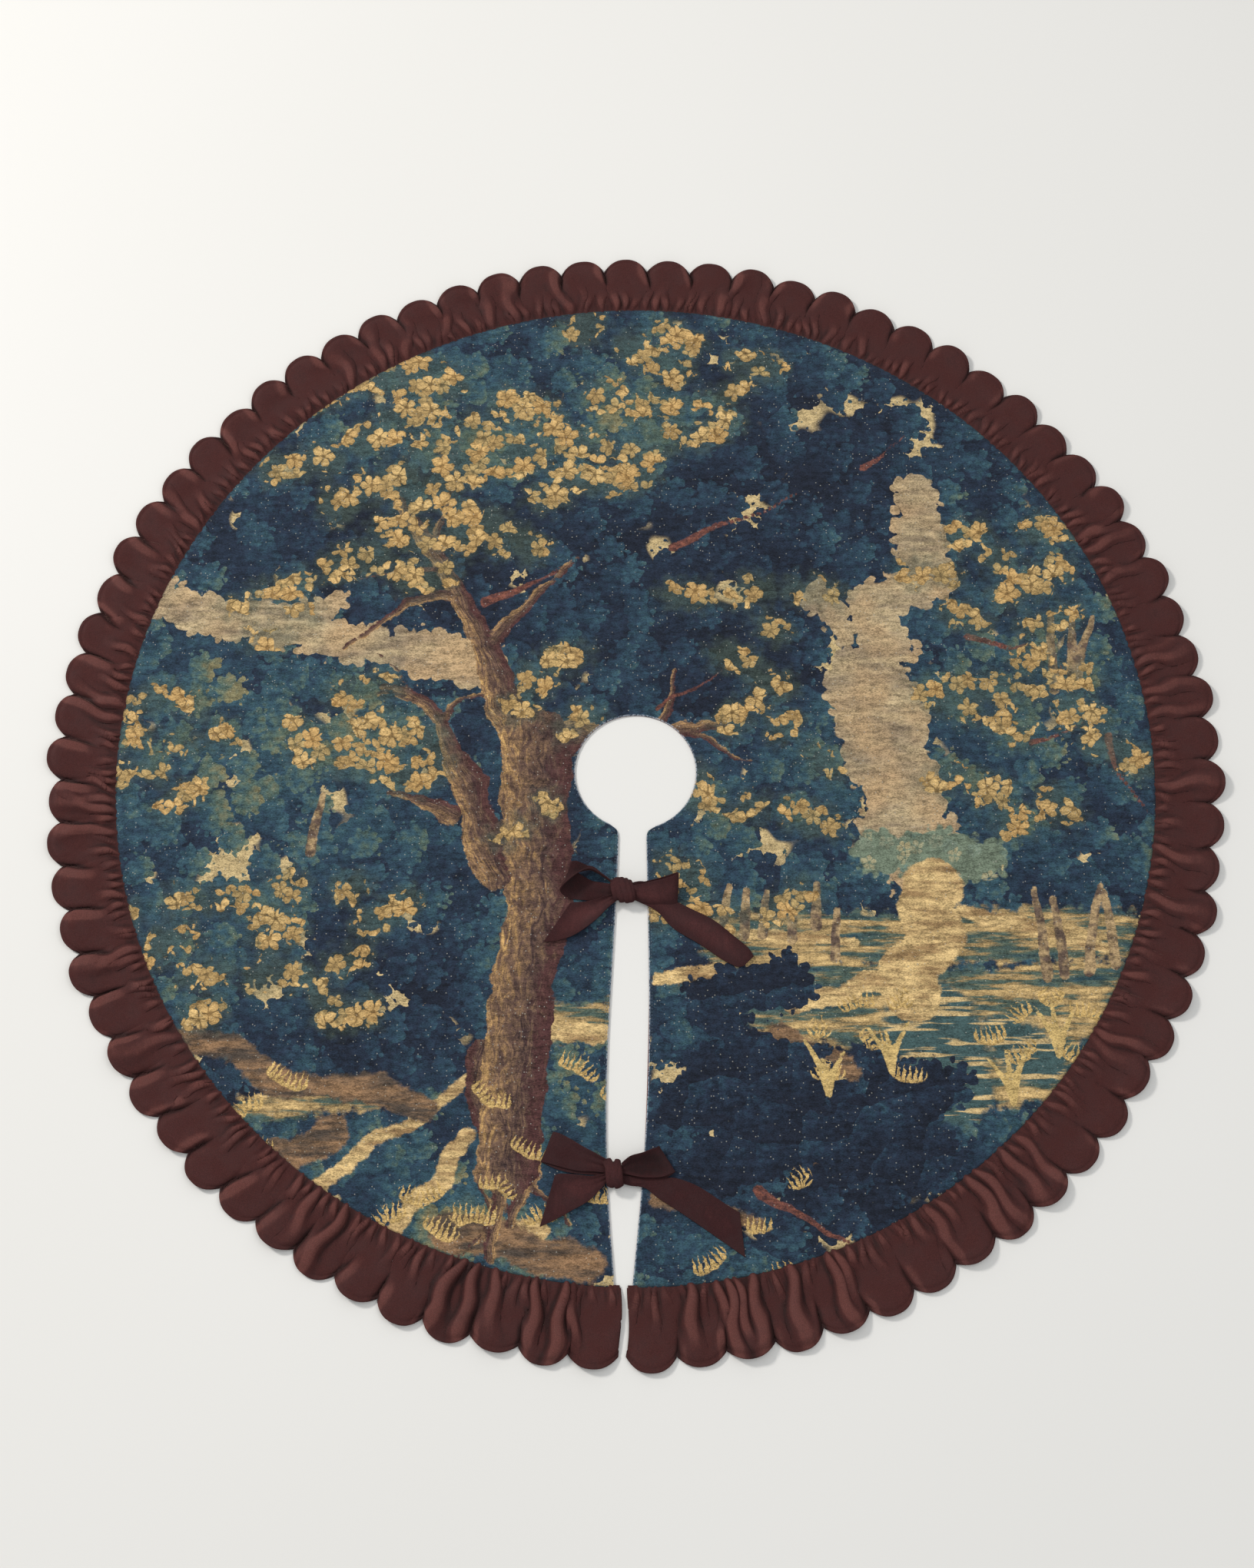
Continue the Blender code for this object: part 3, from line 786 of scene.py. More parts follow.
def makeRuffleFront(strip, material):
    perStrip = ruffle["scallopsPerStrip"]
    name = stripName("front", strip)
    mesh, u, v = gridMesh(name, perStrip * ruffle["columnsPerScallop"], ruffle["rows"])
    k, s = (strip + u) * perStrip, ruffleShare(v)
    z = ruffleHeight(k, s)
    level = (ruffleHeight(k + 0.14, s) + ruffleHeight(k - 0.14, s)) / 2
    slope = (ruffleHeight(k + 0.02, s) - ruffleHeight(k - 0.02, s)) / 0.04
    body = z.copy()
    # The tacked seam just inside the padded edge, and the edge's own roll
    span = edgeRadius(k) - hemDistance(ruffleAngle(k), 0)
    fromEdge = (1 - s) * span
    z = mix(ruffle["edgeHeight"] + 0.35 * z, z, smooth(fromEdge / 0.011))
    z -= ruffle["stitchSink"] * bump((fromEdge - ruffle["seamInset"]) / 0.0022)
    z += 0.0006 * bump((fromEdge - 0.0015) / 0.0022) + tipLift(k, s)
    lean = np.clip(-slope * 0.9, -0.004, 0.004) * 0.55 * smooth((1 - s) / 0.15) * smooth(s / 0.2)
    x, y = rufflePlan(k, s, 0.0012, lean)
    setPlaces(mesh, x, y, z)
    # Painted shade and highlight: valleys below the local level come out darker, crests and higher
    # parts lighter
    ridge = 0.45 + (body - level) / 0.0075 + (body - 0.0062) / 0.045
    setAttribute(mesh, "ridge", np.clip(ridge, 0, 1))
    last = v > 1 - 0.5 / ruffle["rows"]
    ends = (u < 1e-6) * (strip == 0) + (u > 1 - 1e-6) * (strip == ruffle["strips"] - 1) > 0
    freeEdge = last | ends
    freeEdge[v < 0.5 / ruffle["rows"]] = False
    rollEdge(
        mesh,
        [(0.5 * mm, 0.2 * mm, None), (1.0 * mm, 0.75 * mm, None), (1.2 * mm, 1.4 * mm, None),
         (0.7 * mm, 2.0 * mm, None)],
        lambda edge: freeEdge[edge.verts[0].index] and freeEdge[edge.verts[1].index],
    )
    obj = addPiece(stripName("ruffleFront", strip), mesh, "skirt", material)
    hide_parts(stripName("ruffle_front", strip))


def makeRuffleFacing(strip, material):
    perStrip = ruffle["scallopsPerStrip"]
    mesh, u, v = gridMesh(stripName("facing", strip), perStrip * 10, 8)
    k, s = (strip + u) * perStrip, v
    x, y = rufflePlan(k, s, 0.0016)
    wave = 0.0003 * np.sin(k * 2 * math.pi * 1.7 + 3 * s)
    z = ruffle["facingHeight"] + wave * smooth((1 - s) / 0.2) + tipLift(k, s) * 0.95
    setPlaces(mesh, x, y, z)
    # Painted shade: the facing, under the front layer, gets an even low ridge value, so its velvet
    # comes out darker
    setAttribute(mesh, "ridge", np.full(len(k), 0.35))
    obj = addPiece(stripName("ruffleFacing", strip), mesh, "skirt", material)
    solid = obj.modifiers.new("thickness", "SOLIDIFY")
    solid.thickness = ruffle["facingThickness"]
    solid.offset = -1 if mesh.polygons[0].normal.z > 0 else 1
    applyModifiers(obj)
    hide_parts(stripName("ruffle_facing", strip))


# The bows: ribbons lofted between their two selvages, in mm from the knot's centre

# A smooth curve through the stations, at t from 0 to 1
def stationAt(stations, t):
    count = len(stations) - 1
    place = min(t * count, count - 1e-9)
    index = int(place)
    part = place - index
    p1, p2 = np.array(stations[index]), np.array(stations[index + 1])
    p0 = np.array(stations[index - 1]) if index else 2 * p1 - p2
    p3 = np.array(stations[index + 2]) if index + 2 <= count else 2 * p2 - p1
    return 0.5 * (
        2 * p1 + (p2 - p0) * part + (2 * p0 - 5 * p1 + 4 * p2 - p3) * part**2
        + (3 * p1 - p0 - 3 * p2 + p3) * part**3
    )


ribbonShape = {"along": 64, "across": 16, "thickness": 0.0011, "edgeRadius": 0.0004, "ripple": 0.5}


# Each station: one selvage's place, the other's, and how far the middle stands out
def makeRibbon(node, body, knot, stations, material, pleats=0.0):
    prefix, kind, side = node.split("_")
    name = f"{prefix}{kind.capitalize()}{side.capitalize()}"
    mesh, u, v = gridMesh(name, ribbonShape["along"], ribbonShape["across"])
    rows = {t: stationAt(stations, t) for t in sorted(set(np.round(u, 6)))}
    table = np.array([rows[t] for t in np.round(u, 6)])
    near, far, swell = table[:, 0:3], table[:, 3:6], table[:, 6]
    middle = near + (far - near) * v[:, None]
    step = 0.01
    ahead = {t: stationAt(stations, min(t + step, 1)) for t in rows}
    behind = {t: stationAt(stations, max(t - step, 0)) for t in rows}
    alongs = np.array([
        (ahead[t][0:3] + ahead[t][3:6] - behind[t][0:3] - behind[t][3:6]) for t in np.round(u, 6)
    ])
    normal = np.cross(alongs, far - near)
    normal /= np.linalg.norm(normal, axis=1)[:, None]
    lift = swell * (1 - (2 * v - 1) ** 2)
    root = np.exp(-np.linalg.norm(middle[:, :2], axis=1) / 22)
    pleat = np.cos(2 * math.pi * 2.5 * v + 0.6)
    lift += pleats * root * pleat * smooth(v * 6) * smooth((1 - v) * 6)
    ripple = softNoise(u * 3 + knot.x * 50, v, 0.35, len(name), 1)
    lift += ribbonShape["ripple"] * ripple * smooth(u * 5) * smooth((1 - u) * 5)
    place = (middle + normal * lift[:, None]) * mm + np.array(knot)
    setPlaces(mesh, *place.T)
    # Painted highlight and shade: where the ribbon stands out it comes out lighter, where it sinks,
    # darker
    setAttribute(mesh, "ridge", np.clip(0.45 + 0.12 * lift, 0.1, 0.9))
    setAttribute(mesh, "along", u)
    setAttribute(mesh, "across", v)
    obj = addPiece(name, mesh, body, material)
    solid = obj.modifiers.new("thickness", "SOLIDIFY")
    solid.thickness = ribbonShape["thickness"]
    solid.offset = 0
    solid.use_even_offset = True
    rounded = obj.modifiers.new("soft edges", "BEVEL")
    rounded.width = ribbonShape["edgeRadius"]
    rounded.segments = 2
    rounded.limit_method = "ANGLE"
    rounded.angle_limit = math.radians(60)
    applyModifiers(obj)
    obj.data.shade_smooth()
    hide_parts(node)


bows = {
    "upper_loop_left": {
        "stations": [
            (-10, -9, 8.5, -10, 7, 15, 0), (-22, -12, 7, -24, 10, 12, -1.5),
            (-42, -12, 6.6, -40, 14, 8.5, -1.5), (-62, -10, 6.6, -54, 22, 9, -2),
            (-74, -7, 9, -62, 28, 11, -3), (-80, -3, 15, -67, 33, 17, -3),
            (-79, 1, 22, -66, 36, 22, -2), (-70, 9, 26, -58, 37, 19, -2),
            (-56, 21, 26, -47, 34, 12, -3), (-42, 26, 24, -36, 31, 9, -3),
            (-26, 19, 21, -23, 20, 9, -2), (-11, 8, 17, -11, 8, 9, 0),
        ],
        "flat": (0.038, 0.115), "pleats": 0.8,
    },
    "upper_loop_right": {
        "stations": [
            (9, -9, 9, 8, 5, 18, 1), (22, -14, 9, 20, 6, 19.5, 2.5),
            (38, -18, 8.5, 36, 9, 21.5, 3), (54, -20, 8, 52, 12, 24, 2.5),
            (64, -19.5, 7.8, 63, 15, 26, 2), (68.5, -18, 7.2, 69.5, 18, 26, 1),
            (66, -16, 6.6, 69, 21, 23, 1), (52, -12, 6.6, 56, 18, 18, 2),
            (34, -8, 6.6, 36, 13, 15, 2), (12, -5, 7.5, 11, 8, 14, 0),
        ],
        "flat": (0.038, 0.115), "pleats": 0.7,
    },
    "upper_tail_left": {
        "stations": [
            (-7, -12, 9, -9, -3, 13, 0), (-18, -21, 10, -22, -7, 12, 3),
            (-33, -37, 11, -38, -12, 10.5, 3.5), (-48, -49.5, 11, -52, -14, 8.5, 3.5),
            (-65, -60, 10, -62, -14.5, 8, 2.5), (-85, -66, 8.5, -66, -15, 7.5, 1.5),
            (-101, -67, 7, -68, -16, 7, 0.5),
        ],
        "flat": (0.038, 0.092), "pleats": 0.9,
    },
    "upper_tail_right": {
        "stations": [
            (4, -8, 8, 10, -1, 9.5, 0), (22, -15, 7.5, 34, -3, 9, 1),
            (44, -27, 7, 58, -9, 8.5, 2), (64, -49, 7, 80, -20, 8, 2.5),
            (100, -72, 7, 115, -38, 7.6, 2.8), (127, -91, 7, 142, -60, 7.4, 2.5),
            (144, -99.5, 7, 159, -75, 7.2, 2), (153, -99, 6.8, 166, -86, 7, 0.8),
        ],
        "flat": (0.038, 0.165), "pleats": 0.6,
    },
    "lower_loop_left": {
        "stations": [
            (-9, 1, 11, -9, 17, 17, 1), (-24, 3, 10.5, -22, 24, 17.5, 1.5),
            (-44, 4, 9.5, -40, 34, 16.5, 1), (-62, 8, 9.5, -56, 44, 15, 0.5),
            (-80, 13, 9.8, -68, 50, 14.5, 0.5), (-89, 15.5, 8.8, -75, 52, 12, 0),
            (-87, 14, 6.9, -73, 51, 7.5, 0), (-66, 5, 6.7, -56, 40, 7, 0),
            (-40, 0.5, 6.7, -34, 27, 7.2, 0), (-10, -1, 8, -9, 13, 9, 0),
        ],
        "flat": (0.038, 0.150), "pleats": 2.0,
    },
    "lower_loop_right": {
        "stations": [
            (9, 1, 13, 9, 12, 17, -1), (22, -2.5, 13.5, 20, 20, 21, -4),
            (38, -5, 13, 35, 24, 23, -5), (58, -4, 11.5, 47, 29, 21.5, -3.5),
            (71, 1, 10.5, 53, 32, 18, -1), (75, 3, 8.5, 55, 34, 14, 0),
            (71, 0, 6.8, 52, 31, 9, 0), (56, -8, 6.7, 40, 22, 7, 0),
            (32, -11, 6.7, 24, 14, 8, 0), (10, -7, 8, 9, 8, 10, 0),
        ],
        "flat": (0.038, 0.120), "pleats": 0.8,
    },
    "lower_tail_left": {
        "stations": [
            (-8, -9, 9, -10, 1, 11, 0), (-18, -20, 9, -28, -2, 9, 1.5),
            (-31, -33, 9.5, -46, 0, 8, 2), (-50, -44, 9.5, -60, 1, 7.5, 2),
            (-70, -55, 9, -68, 1, 7.2, 1.5), (-91, -65, 8, -73, -1, 7, 0.5),
        ],
        "flat": (0.038, 0.096), "pleats": 1.2,
    },
    "lower_tail_right": {
        "stations": [
            (3, -10, 8, 8, -2, 10, 0), (20, -14, 7.2, 36, -3, 8.5, 1),
            (38, -17, 6.9, 60, -4, 7.5, 1), (55, -30, 6.8, 78, -5, 7.2, 0.8),
            (80, -46, 6.8, 102, -14, 7.1, 0.8), (112, -68, 6.8, 127, -30, 7.1, 0.8),
            (136, -85, 6.8, 142, -40, 7, 0.6), (160, -102, 6.7, 154, -47, 7, 0.2),
        ],
        "flat": (0.038, 0.165), "pleats": 0.6,
    },
}
knots = {
    "upper": {
        "centre": upperKnot, "height": 13.6, "half": (11, 15.5, 6.4),
        # Each wrap: its place across, turn in degrees, half width, reach, height
        "wraps": [
            (-11.5, 10, 4.4, 14.5, 6.4), (-5.0, 15, 4.6, 17.5, 7.6), (2.0, 18, 4.4, 18.2, 8.0),
            (7.8, 16, 3.8, 17.0, 7.4), (12.2, 12, 3.2, 14.6, 6.2),
        ],
    },
    "lower": {
        "centre": lowerKnot, "height": 13.6, "half": (7, 15, 6.2),
        "wraps": [
            (-6.5, 4, 4.6, 17.0, 6.6), (0.5, -14, 4.0, 18.6, 6.9), (6.6, 6, 4.0, 16.0, 6.4),
            (-1.5, 27, 6.2, 20.0, 8.0),
        ],
    },
}


knotShape = {"wrapThickness": 2.3, "wrapSteps": 56, "voxel": 0.00055, "smoothing": 3}


# Wraps of ribbon round a core, grown together by a fine remesh
def makeKnot(prefix, material):
    knot = knots[prefix]
    work = bmesh.new()
    core = Matrix.Diagonal((*knot["half"], 1))
    bmesh.ops.create_uvsphere(work, u_segments=40, v_segments=24, radius=1, matrix=core)
    thick = knotShape["wrapThickness"]
    for across, turn, halfWidth, reach, height in knot["wraps"]:
        ring = bmesh.new()
        bmesh.ops.create_circle(ring, segments=18, radius=1)
        for vert in ring.verts:
            vert.co = Vector((vert.co.x * halfWidth, reach - thick + vert.co.y * thick, 0))
        bmesh.ops.spin(
            ring, geom=ring.verts[:] + ring.edges[:], cent=(0, 0, 0), axis=(1, 0, 0),
            angle=2 * math.pi, steps=knotShape["wrapSteps"], use_merge=True,
        )
        for vert in ring.verts:
            theta = math.atan2(vert.co.z, vert.co.y)
            out = math.hypot(vert.co.y, vert.co.z) - (reach - thick)
            vert.co.y = (reach - thick + out) * math.cos(theta)
            vert.co.z = (height - thick + out) * math.sin(theta)
            vert.co.x += across * (1 - 0.12 * abs(math.cos(theta)))
        bmesh.ops.rotate(
            ring, verts=ring.verts, cent=(across, 0, 0),
            matrix=Matrix.Rotation(math.radians(turn), 3, "Z"),
        )
        bmesh.ops.recalc_face_normals(ring, faces=ring.faces)
        part = bpy.data.meshes.new("wrap")
        ring.to_mesh(part)
        ring.free()
        work.from_mesh(part)
        bpy.data.meshes.remove(part)
    move = Matrix.Translation(knot["centre"] + Vector((0, 0, knot["height"] * mm)))
    bmesh.ops.transform(work, verts=work.verts, matrix=move @ Matrix.Scale(mm, 4))
    mesh = bpy.data.meshes.new(f"{prefix}Knot")
    work.to_mesh(mesh)
    work.free()
    obj = addPiece(f"{prefix}Knot", mesh, "skirt", material)
    remesh = obj.modifiers.new("grown together", "REMESH")
    remesh.mode = "VOXEL"
    remesh.voxel_size = knotShape["voxel"]
    soft = obj.modifiers.new("soft", "SMOOTH")
    soft.iterations = knotShape["smoothing"]
    applyModifiers(obj)
    obj.data.shade_smooth()
    place = places(obj.data)
    # Painted light: the knot comes out lighter towards its top and darker towards its foot
    top = (place[:, 2] - place[:, 2].min()) / np.ptp(place[:, 2])
    setAttribute(obj.data, "ridge", 0.2 + 0.5 * top)
    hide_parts(f"{prefix}_knot")


leftStrap = [
    (-20, -9, 2.2, -20, 9, 2.2, 0), (-12, -9, 2.2, -12, 9, 2.2, 0),
    (-6, -8, 3.6, -6, 8, 3.6, 0), (-3, -8, 7.5, -3, 8, 7.5, 0),
]
straps = {
    "upper_strap_left": (upperKnot, leftStrap, (0.020, 0.020)),
    "upper_strap_right": (upperKnot, [
        (42, -9, 2.2, 42, 10, 2.2, 0), (33, -9, 2.4, 33, 11, 2.4, 0),
        (27, -8, 6, 28, 13, 8, 1), (19, -6, 9, 20, 12, 13, 2), (8, -5, 10, 8, 9, 14, 1),
    ], (0.020, 0.040)),
    "lower_strap_left": (lowerKnot, leftStrap, (0.020, 0.020)),
    "lower_strap_right": (lowerKnot, [
        (46, -11, 2.2, 46, 8, 2.2, 0), (37, -11, 2.4, 37, 8, 2.4, 0),
        (31, -10, 6, 31, 8, 6, 0.5), (21, -8, 8, 21, 7, 8.5, 1), (8, -7, 9, 8, 7, 10, 1),
    ], (0.020, 0.044)),
}


def makeBows(material):
    print("bows")
    for prefix in knots:
        makeKnot(prefix, material)
    for node, shape in bows.items():
        knot = knots[node.split("_")[0]]["centre"]
        makeRibbon(node, node, knot, shape["stations"], material, shape["pleats"])
    for node, (knot, stations, flat) in straps.items():
        makeRibbon(node, "skirt", knot, stations, material)


# The print: a generic woodland in the manner of old woven hangings, grown by rule from these few
# values, in mm from the middle of the neck hole. Lines run from one place to another.

woodland = {
    "seed": 21,
    # How a bough grows: degrees it bends at each step, its narrowing, and what a fork takes over
    "growth": {
        "steps": 5, "bend": 13, "taper": 0.76, "forkFrom": 28, "forkTo": 62,
        "forkLength": 0.42, "forkWidth": 0.62,
    },
    # From x, y to x, y, half width, and how far the middle strays
    "skyGaps": [
        (-640, 250, -200, 150, 30, 14), (380, 400, 310, 120, 34, 22),
        (310, 120, 370, -120, 58, 16), (-450, 200, -400, 240, 16, 4), (240, 260, 280, 200, 18, 6),
    ],
    "meadows": [
        (120, -230, 630, -220, 32, 6), (180, -310, 610, -310, 48, 6),
        (380, -400, 520, -390, 40, 6), (-110, -340, -30, -330, 24, 2),
        (-480, -450, -330, -430, 16, 4),
    ],
    "paths": [
        (380, -160, 350, -300, 34, 12), (350, -280, 200, -310, 14, 4),
        (150, -220, 280, -230, 7, 2), (420, -190, 600, -240, 8, 6), (30, -280, 100, -270, 10, 2),
        (-110, -350, -40, -350, 12, 4), (-400, -550, -200, -400, 8, 12),
        (-310, -610, -210, -480, 10, 8), (-200, -610, -120, -600, 14, 2),
    ],
    "waters": [(370, -340, 400, -420, 54, 4), (460, -350, 510, -390, 28, 2)],
    "banks": [
        (-570, -360, -260, -450, 16, 18), (140, -480, 340, -520, 10, 14),
        (180, -350, 270, -400, 13, 4), (-230, -600, -60, -640, 20, 6),
        (30, -560, 150, -590, 12, 4), (-480, -520, -380, -480, 20, 4),
    ],
    "stems": [(-130, 40, -160, -520, 44, 12), (-230, 10, -180, -140, 24, 6)],
    # From x, y: heading in degrees, length, half width, and how many times it forks again
    "boughs": [
        (-130, 20, 125, 420, 32, 1), (-120, 30, 40, 240, 28, 1), (-230, 0, 100, 170, 16, 1),
        (-190, -380, 240, 260, 22, 1), (-140, -480, 300, 120, 20, 0), (-240, -60, 130, 90, 14, 0),
    ],
    "twigs": [
        (50, 320, 20, 190, 6, 0), (-250, 290, 175, 120, 5, 0), (-200, 240, 10, 130, 7, 0),
        (150, -550, 340, 170, 7, 0), (440, 190, 330, 140, 5, 0), (520, 40, 0, 80, 4, 0),
        (30, 90, 30, 100, 3, 0), (310, 440, 40, 80, 5, 0), (620, 50, 265, 120, 5, 0),
    ],
    # Groves of thin trunks: x, y, spread, how many, height
    "groves": [
        (560, -220, 60, 4, 120), (180, -200, 90, 6, 70), (570, 170, 24, 3, 90),
        (-420, -60, 20, 1, 80),
    ],
    # Thickets: x, y, reach, how many, half width
    "thickets": [
        (130, -300, 50, 2, 30), (150, -430, 60, 4, 38), (330, -470, 60, 4, 34),
        (60, -510, 30, 1, 30),
    ],
    # Zones of leaf sprays: x, y, reach, how many, half width
    "leafZones": [
        (-320, 440, 170, 15, 20), (-70, 530, 130, 11, 19), (-180, 390, 80, 5, 17),
        (90, 560, 90, 5, 14), (140, 220, 110, 6, 13), (500, 260, 110, 8, 15),
        (500, 40, 130, 12, 16), (160, -10, 100, 6, 13), (110, -140, 110, 5, 16),
        (-600, 30, 90, 8, 12), (-560, -230, 110, 8, 13), (-390, -230, 100, 7, 14),
        (-360, 40, 90, 7, 18), (-470, 240, 60, 4, 12), (-110, 110, 60, 4, 15),
        (-150, -60, 70, 2, 10),
    ],
    "tufts": [
        (280, -360, 80, 6, 12), (500, -350, 80, 6, 12), (150, -590, 90, 4, 12),
        (-450, -450, 50, 3, 12), (-110, -500, 120, 7, 12), (-260, -590, 70, 5, 13),
    ],
    "reedBeds": [(240, -430), (320, -400), (470, -440), (530, -380)],
    # Broad tones: place and reach, and how much lighter or darker
    "tones": [
        (-480, 0, 120, 0.26), (-560, 140, 90, 0.20), (-340, 80, 80, 0.28), (-420, 380, 80, -0.20),
        (-240, 300, 180, -0.34), (-220, 460, 110, 0.34), (0, 500, 110, 0.34),
        (150, 360, 190, -0.28), (340, 480, 120, -0.20), (120, 130, 120, -0.26),
        (180, 0, 110, 0.14), (490, 100, 170, 0.16), (-360, -330, 140, -0.26),
        (-500, -220, 100, 0.14), (180, -400, 120, -0.36), (300, -500, 130, -0.30),
        (400, -390, 120, 0.18), (-200, -600, 110, 0.40), (-60, -400, 90, 0.22),
    ],
}


def strayingStroke(draw, line, steps=5):
    ax, ay, bx, by, wide, stray = line
    length = math.hypot(bx - ax, by - ay)
    stroke = []
    for t in np.linspace(0, 1, steps + 1):
        aside = draw.normal(0, stray) * math.sin(math.pi * t)
        x = mix(ax, bx, t) - (by - ay) / length * aside
        y = mix(ay, by, t) + (bx - ax) / length * aside
        stroke.append((x, y, wide * draw.uniform(0.82, 1.18)))
    return stroke


# A bough that narrows as it goes, and the smaller ones that leave it on either side
def growBough(draw, bough):
    x, y, heading, length, wide, forks = bough
    growth = woodland["growth"]
    stroke, found = [(x, y, wide)], []
    steps = growth["steps"]
    for step in range(steps):
        heading += draw.normal(0, growth["bend"])
        x += math.cos(math.radians(heading)) * length / steps
        y += math.sin(math.radians(heading)) * length / steps
        wide = wide * growth["taper"]
        stroke.append((x, y, wide))
        if forks and 0 < step < steps - 1:
            turn = (-1) ** step * draw.uniform(growth["forkFrom"], growth["forkTo"])
            found += growBough(draw, (
                x, y, heading + turn, length * growth["forkLength"], wide * growth["forkWidth"],
                forks - 1,
            ))
    return [stroke] + found


# Places strewn round a middle, none nearer to another than a share of the reach
def strewn(draw, x, y, reach, count):
    places, apart = [], 1.25 * reach / math.sqrt(count)
    for _ in range(count * 40):
        turn, out = draw.uniform(0, 2 * math.pi), reach * math.sqrt(draw.uniform(0, 1))
        place = (x + out * math.cos(turn), y + out * math.sin(turn))
        if all(math.dist(place, other) > apart for other in places):
            places.append(place)
        if len(places) == count:
            break
    return places


def growWoodland():
    draw = np.random.default_rng(woodland["seed"])
    layers = {}
    for layer, lines in [
        ("sky", "skyGaps"), ("meadow", "meadows"), ("path", "paths"), ("water", "waters"),
        ("earth", "banks"), ("trunk", "stems"),
    ]:
        layers[layer] = [strayingStroke(draw, line) for line in woodland[lines]]
    for layer, boughs in [("limbs", "boughs"), ("redTwigs", "twigs")]:
        layers[layer] = [stroke for bough in woodland[boughs] for stroke in growBough(draw, bough)]
    layers["farTrees"] = [strayingStroke(draw, (310, -110, 450, -120, 30, 8))]
    layers["thinTrunks"] = []
    for x, y, spread, count, height in woodland["groves"]:
        for number in range(count):
            foot = x + spread * (2 * (number + 0.5) / count - 1) + draw.normal(0, 5)
            low, tall = y + draw.normal(0, 12), height * draw.uniform(0.7, 1.2)
            lean = draw.normal(0, 9)
            layers["thinTrunks"].append([
                (foot, low - tall / 2, 7), (foot + lean / 3, low, 6),
                (foot + lean, low + tall / 2, 4),
            ])
    layers["bushes"] = []
    for x, y, reach, count, wide in woodland["thickets"]:
        for px, py in strewn(draw, x, y, reach, count):
            layers["bushes"].append(
                strayingStroke(draw, (px - wide, py - 6, px + wide, py + 6, wide, 6), 3)
            )
    # Leaf sprays and tufts of grass lie along short lines that rise or fall a little
    for layer, zones, reachOut in [("sprays", "leafZones", 1.5), ("grass", "tufts", 1.1)]:
        layers[layer] = []
        for x, y, reach, count, wide in woodland[zones]:
            for px, py in strewn(draw, x, y, reach, count):
                half = wide * reachOut * draw.uniform(0.3, 1.2)
                rise = half * draw.uniform(-0.7, 0.7)
                line = (px - half, py - rise, px + half, py + rise, wide, 4)
                layers[layer].append(strayingStroke(draw, line, 2))
    layers["reeds"] = []
    for x, y in woodland["reedBeds"]:
        for lean in (-28, -6, 22):
            tall = draw.uniform(44, 74)
            layers["reeds"].append([
                (x, y, 4), (x + lean * 0.3, y + tall * 0.5, 4), (x + lean, y + tall, 2),
            ])
    layers["tones"] = woodland["tones"]
    return layers


picture = growWoodland()
# How far each layer's outline wanders, in mm
wander = {
    "sky": 12, "farTrees": 7, "meadow": 6, "path": 3, "water": 6, "earth": 5, "bushes": 8,
    "sprays": 6, "trunk": 6, "limbs": 5, "thinTrunks": 2, "redTwigs": 3, "grass": 2, "reeds": 1,
}


# Distance in mm to the nearest stroke's edge, negative inside, and the places along and across
# that stroke, the latter from -1 to 1
def layerGap(strokes, x, y):
    best = np.full(len(x), 900.0)
    along, across = np.zeros(len(x)), np.zeros(len(x))
    for stroke in strokes:
        start = 0.0
        for (ax, ay, wide), (bx, by, wideNext) in zip(stroke, stroke[1:]):
            dx, dy = bx - ax, by - ay
            length = math.hypot(dx, dy)
            share = ((x - ax) * dx + (y - ay) * dy) / length**2
            t = np.clip(share, 0, 1)
            width = mix(wide, wideNext, t)
            gap = np.hypot(x - ax - t * dx, y - ay - t * dy) - width
            side = (dx * (y - ay) - dy * (x - ax)) / length
            closer = gap < best
            best = np.where(closer, gap, best)
            along = np.where(closer, start + share * length, along)
            across = np.where(closer, side / np.maximum(width, 1), across)
            start += length
    return best, along, across


# Stores how far each place lies from each layer's strokes, for the material to paint
def paintPicture(mesh, x, y):
    x, y = x * 1000, y * 1000
    wobbleX = softNoise(x, y, 34, 1.7, 2)
    wobbleY = softNoise(x, y, 34, 9.2, 2)
    for name, amount in wander.items():
        gap, along, across = layerGap(picture[name], x + amount * wobbleX, y + amount * wobbleY)
        setAttribute(mesh, f"{name}Gap", np.clip(gap, -60, 60))
        if name in ("trunk", "limbs", "grass"):
            setAttribute(mesh, f"{name}Along", along)
            setAttribute(mesh, f"{name}Across", across)
    tone = np.zeros(len(x))
    for toneX, toneY, reach, amount in picture["tones"]:
        tone += amount * np.exp(-1.3 * ((x - toneX) ** 2 + (y - toneY) ** 2) / reach**2)
    setAttribute(mesh, "tone", tone)
    fromEdge, fromHem = edgeInsets(x / 1000, y / 1000)
    setAttribute(mesh, "edgeInset", np.clip(fromEdge * 1000, 0, 60))
    setAttribute(mesh, "hemInset", np.clip(fromHem * 1000, 0, 60))


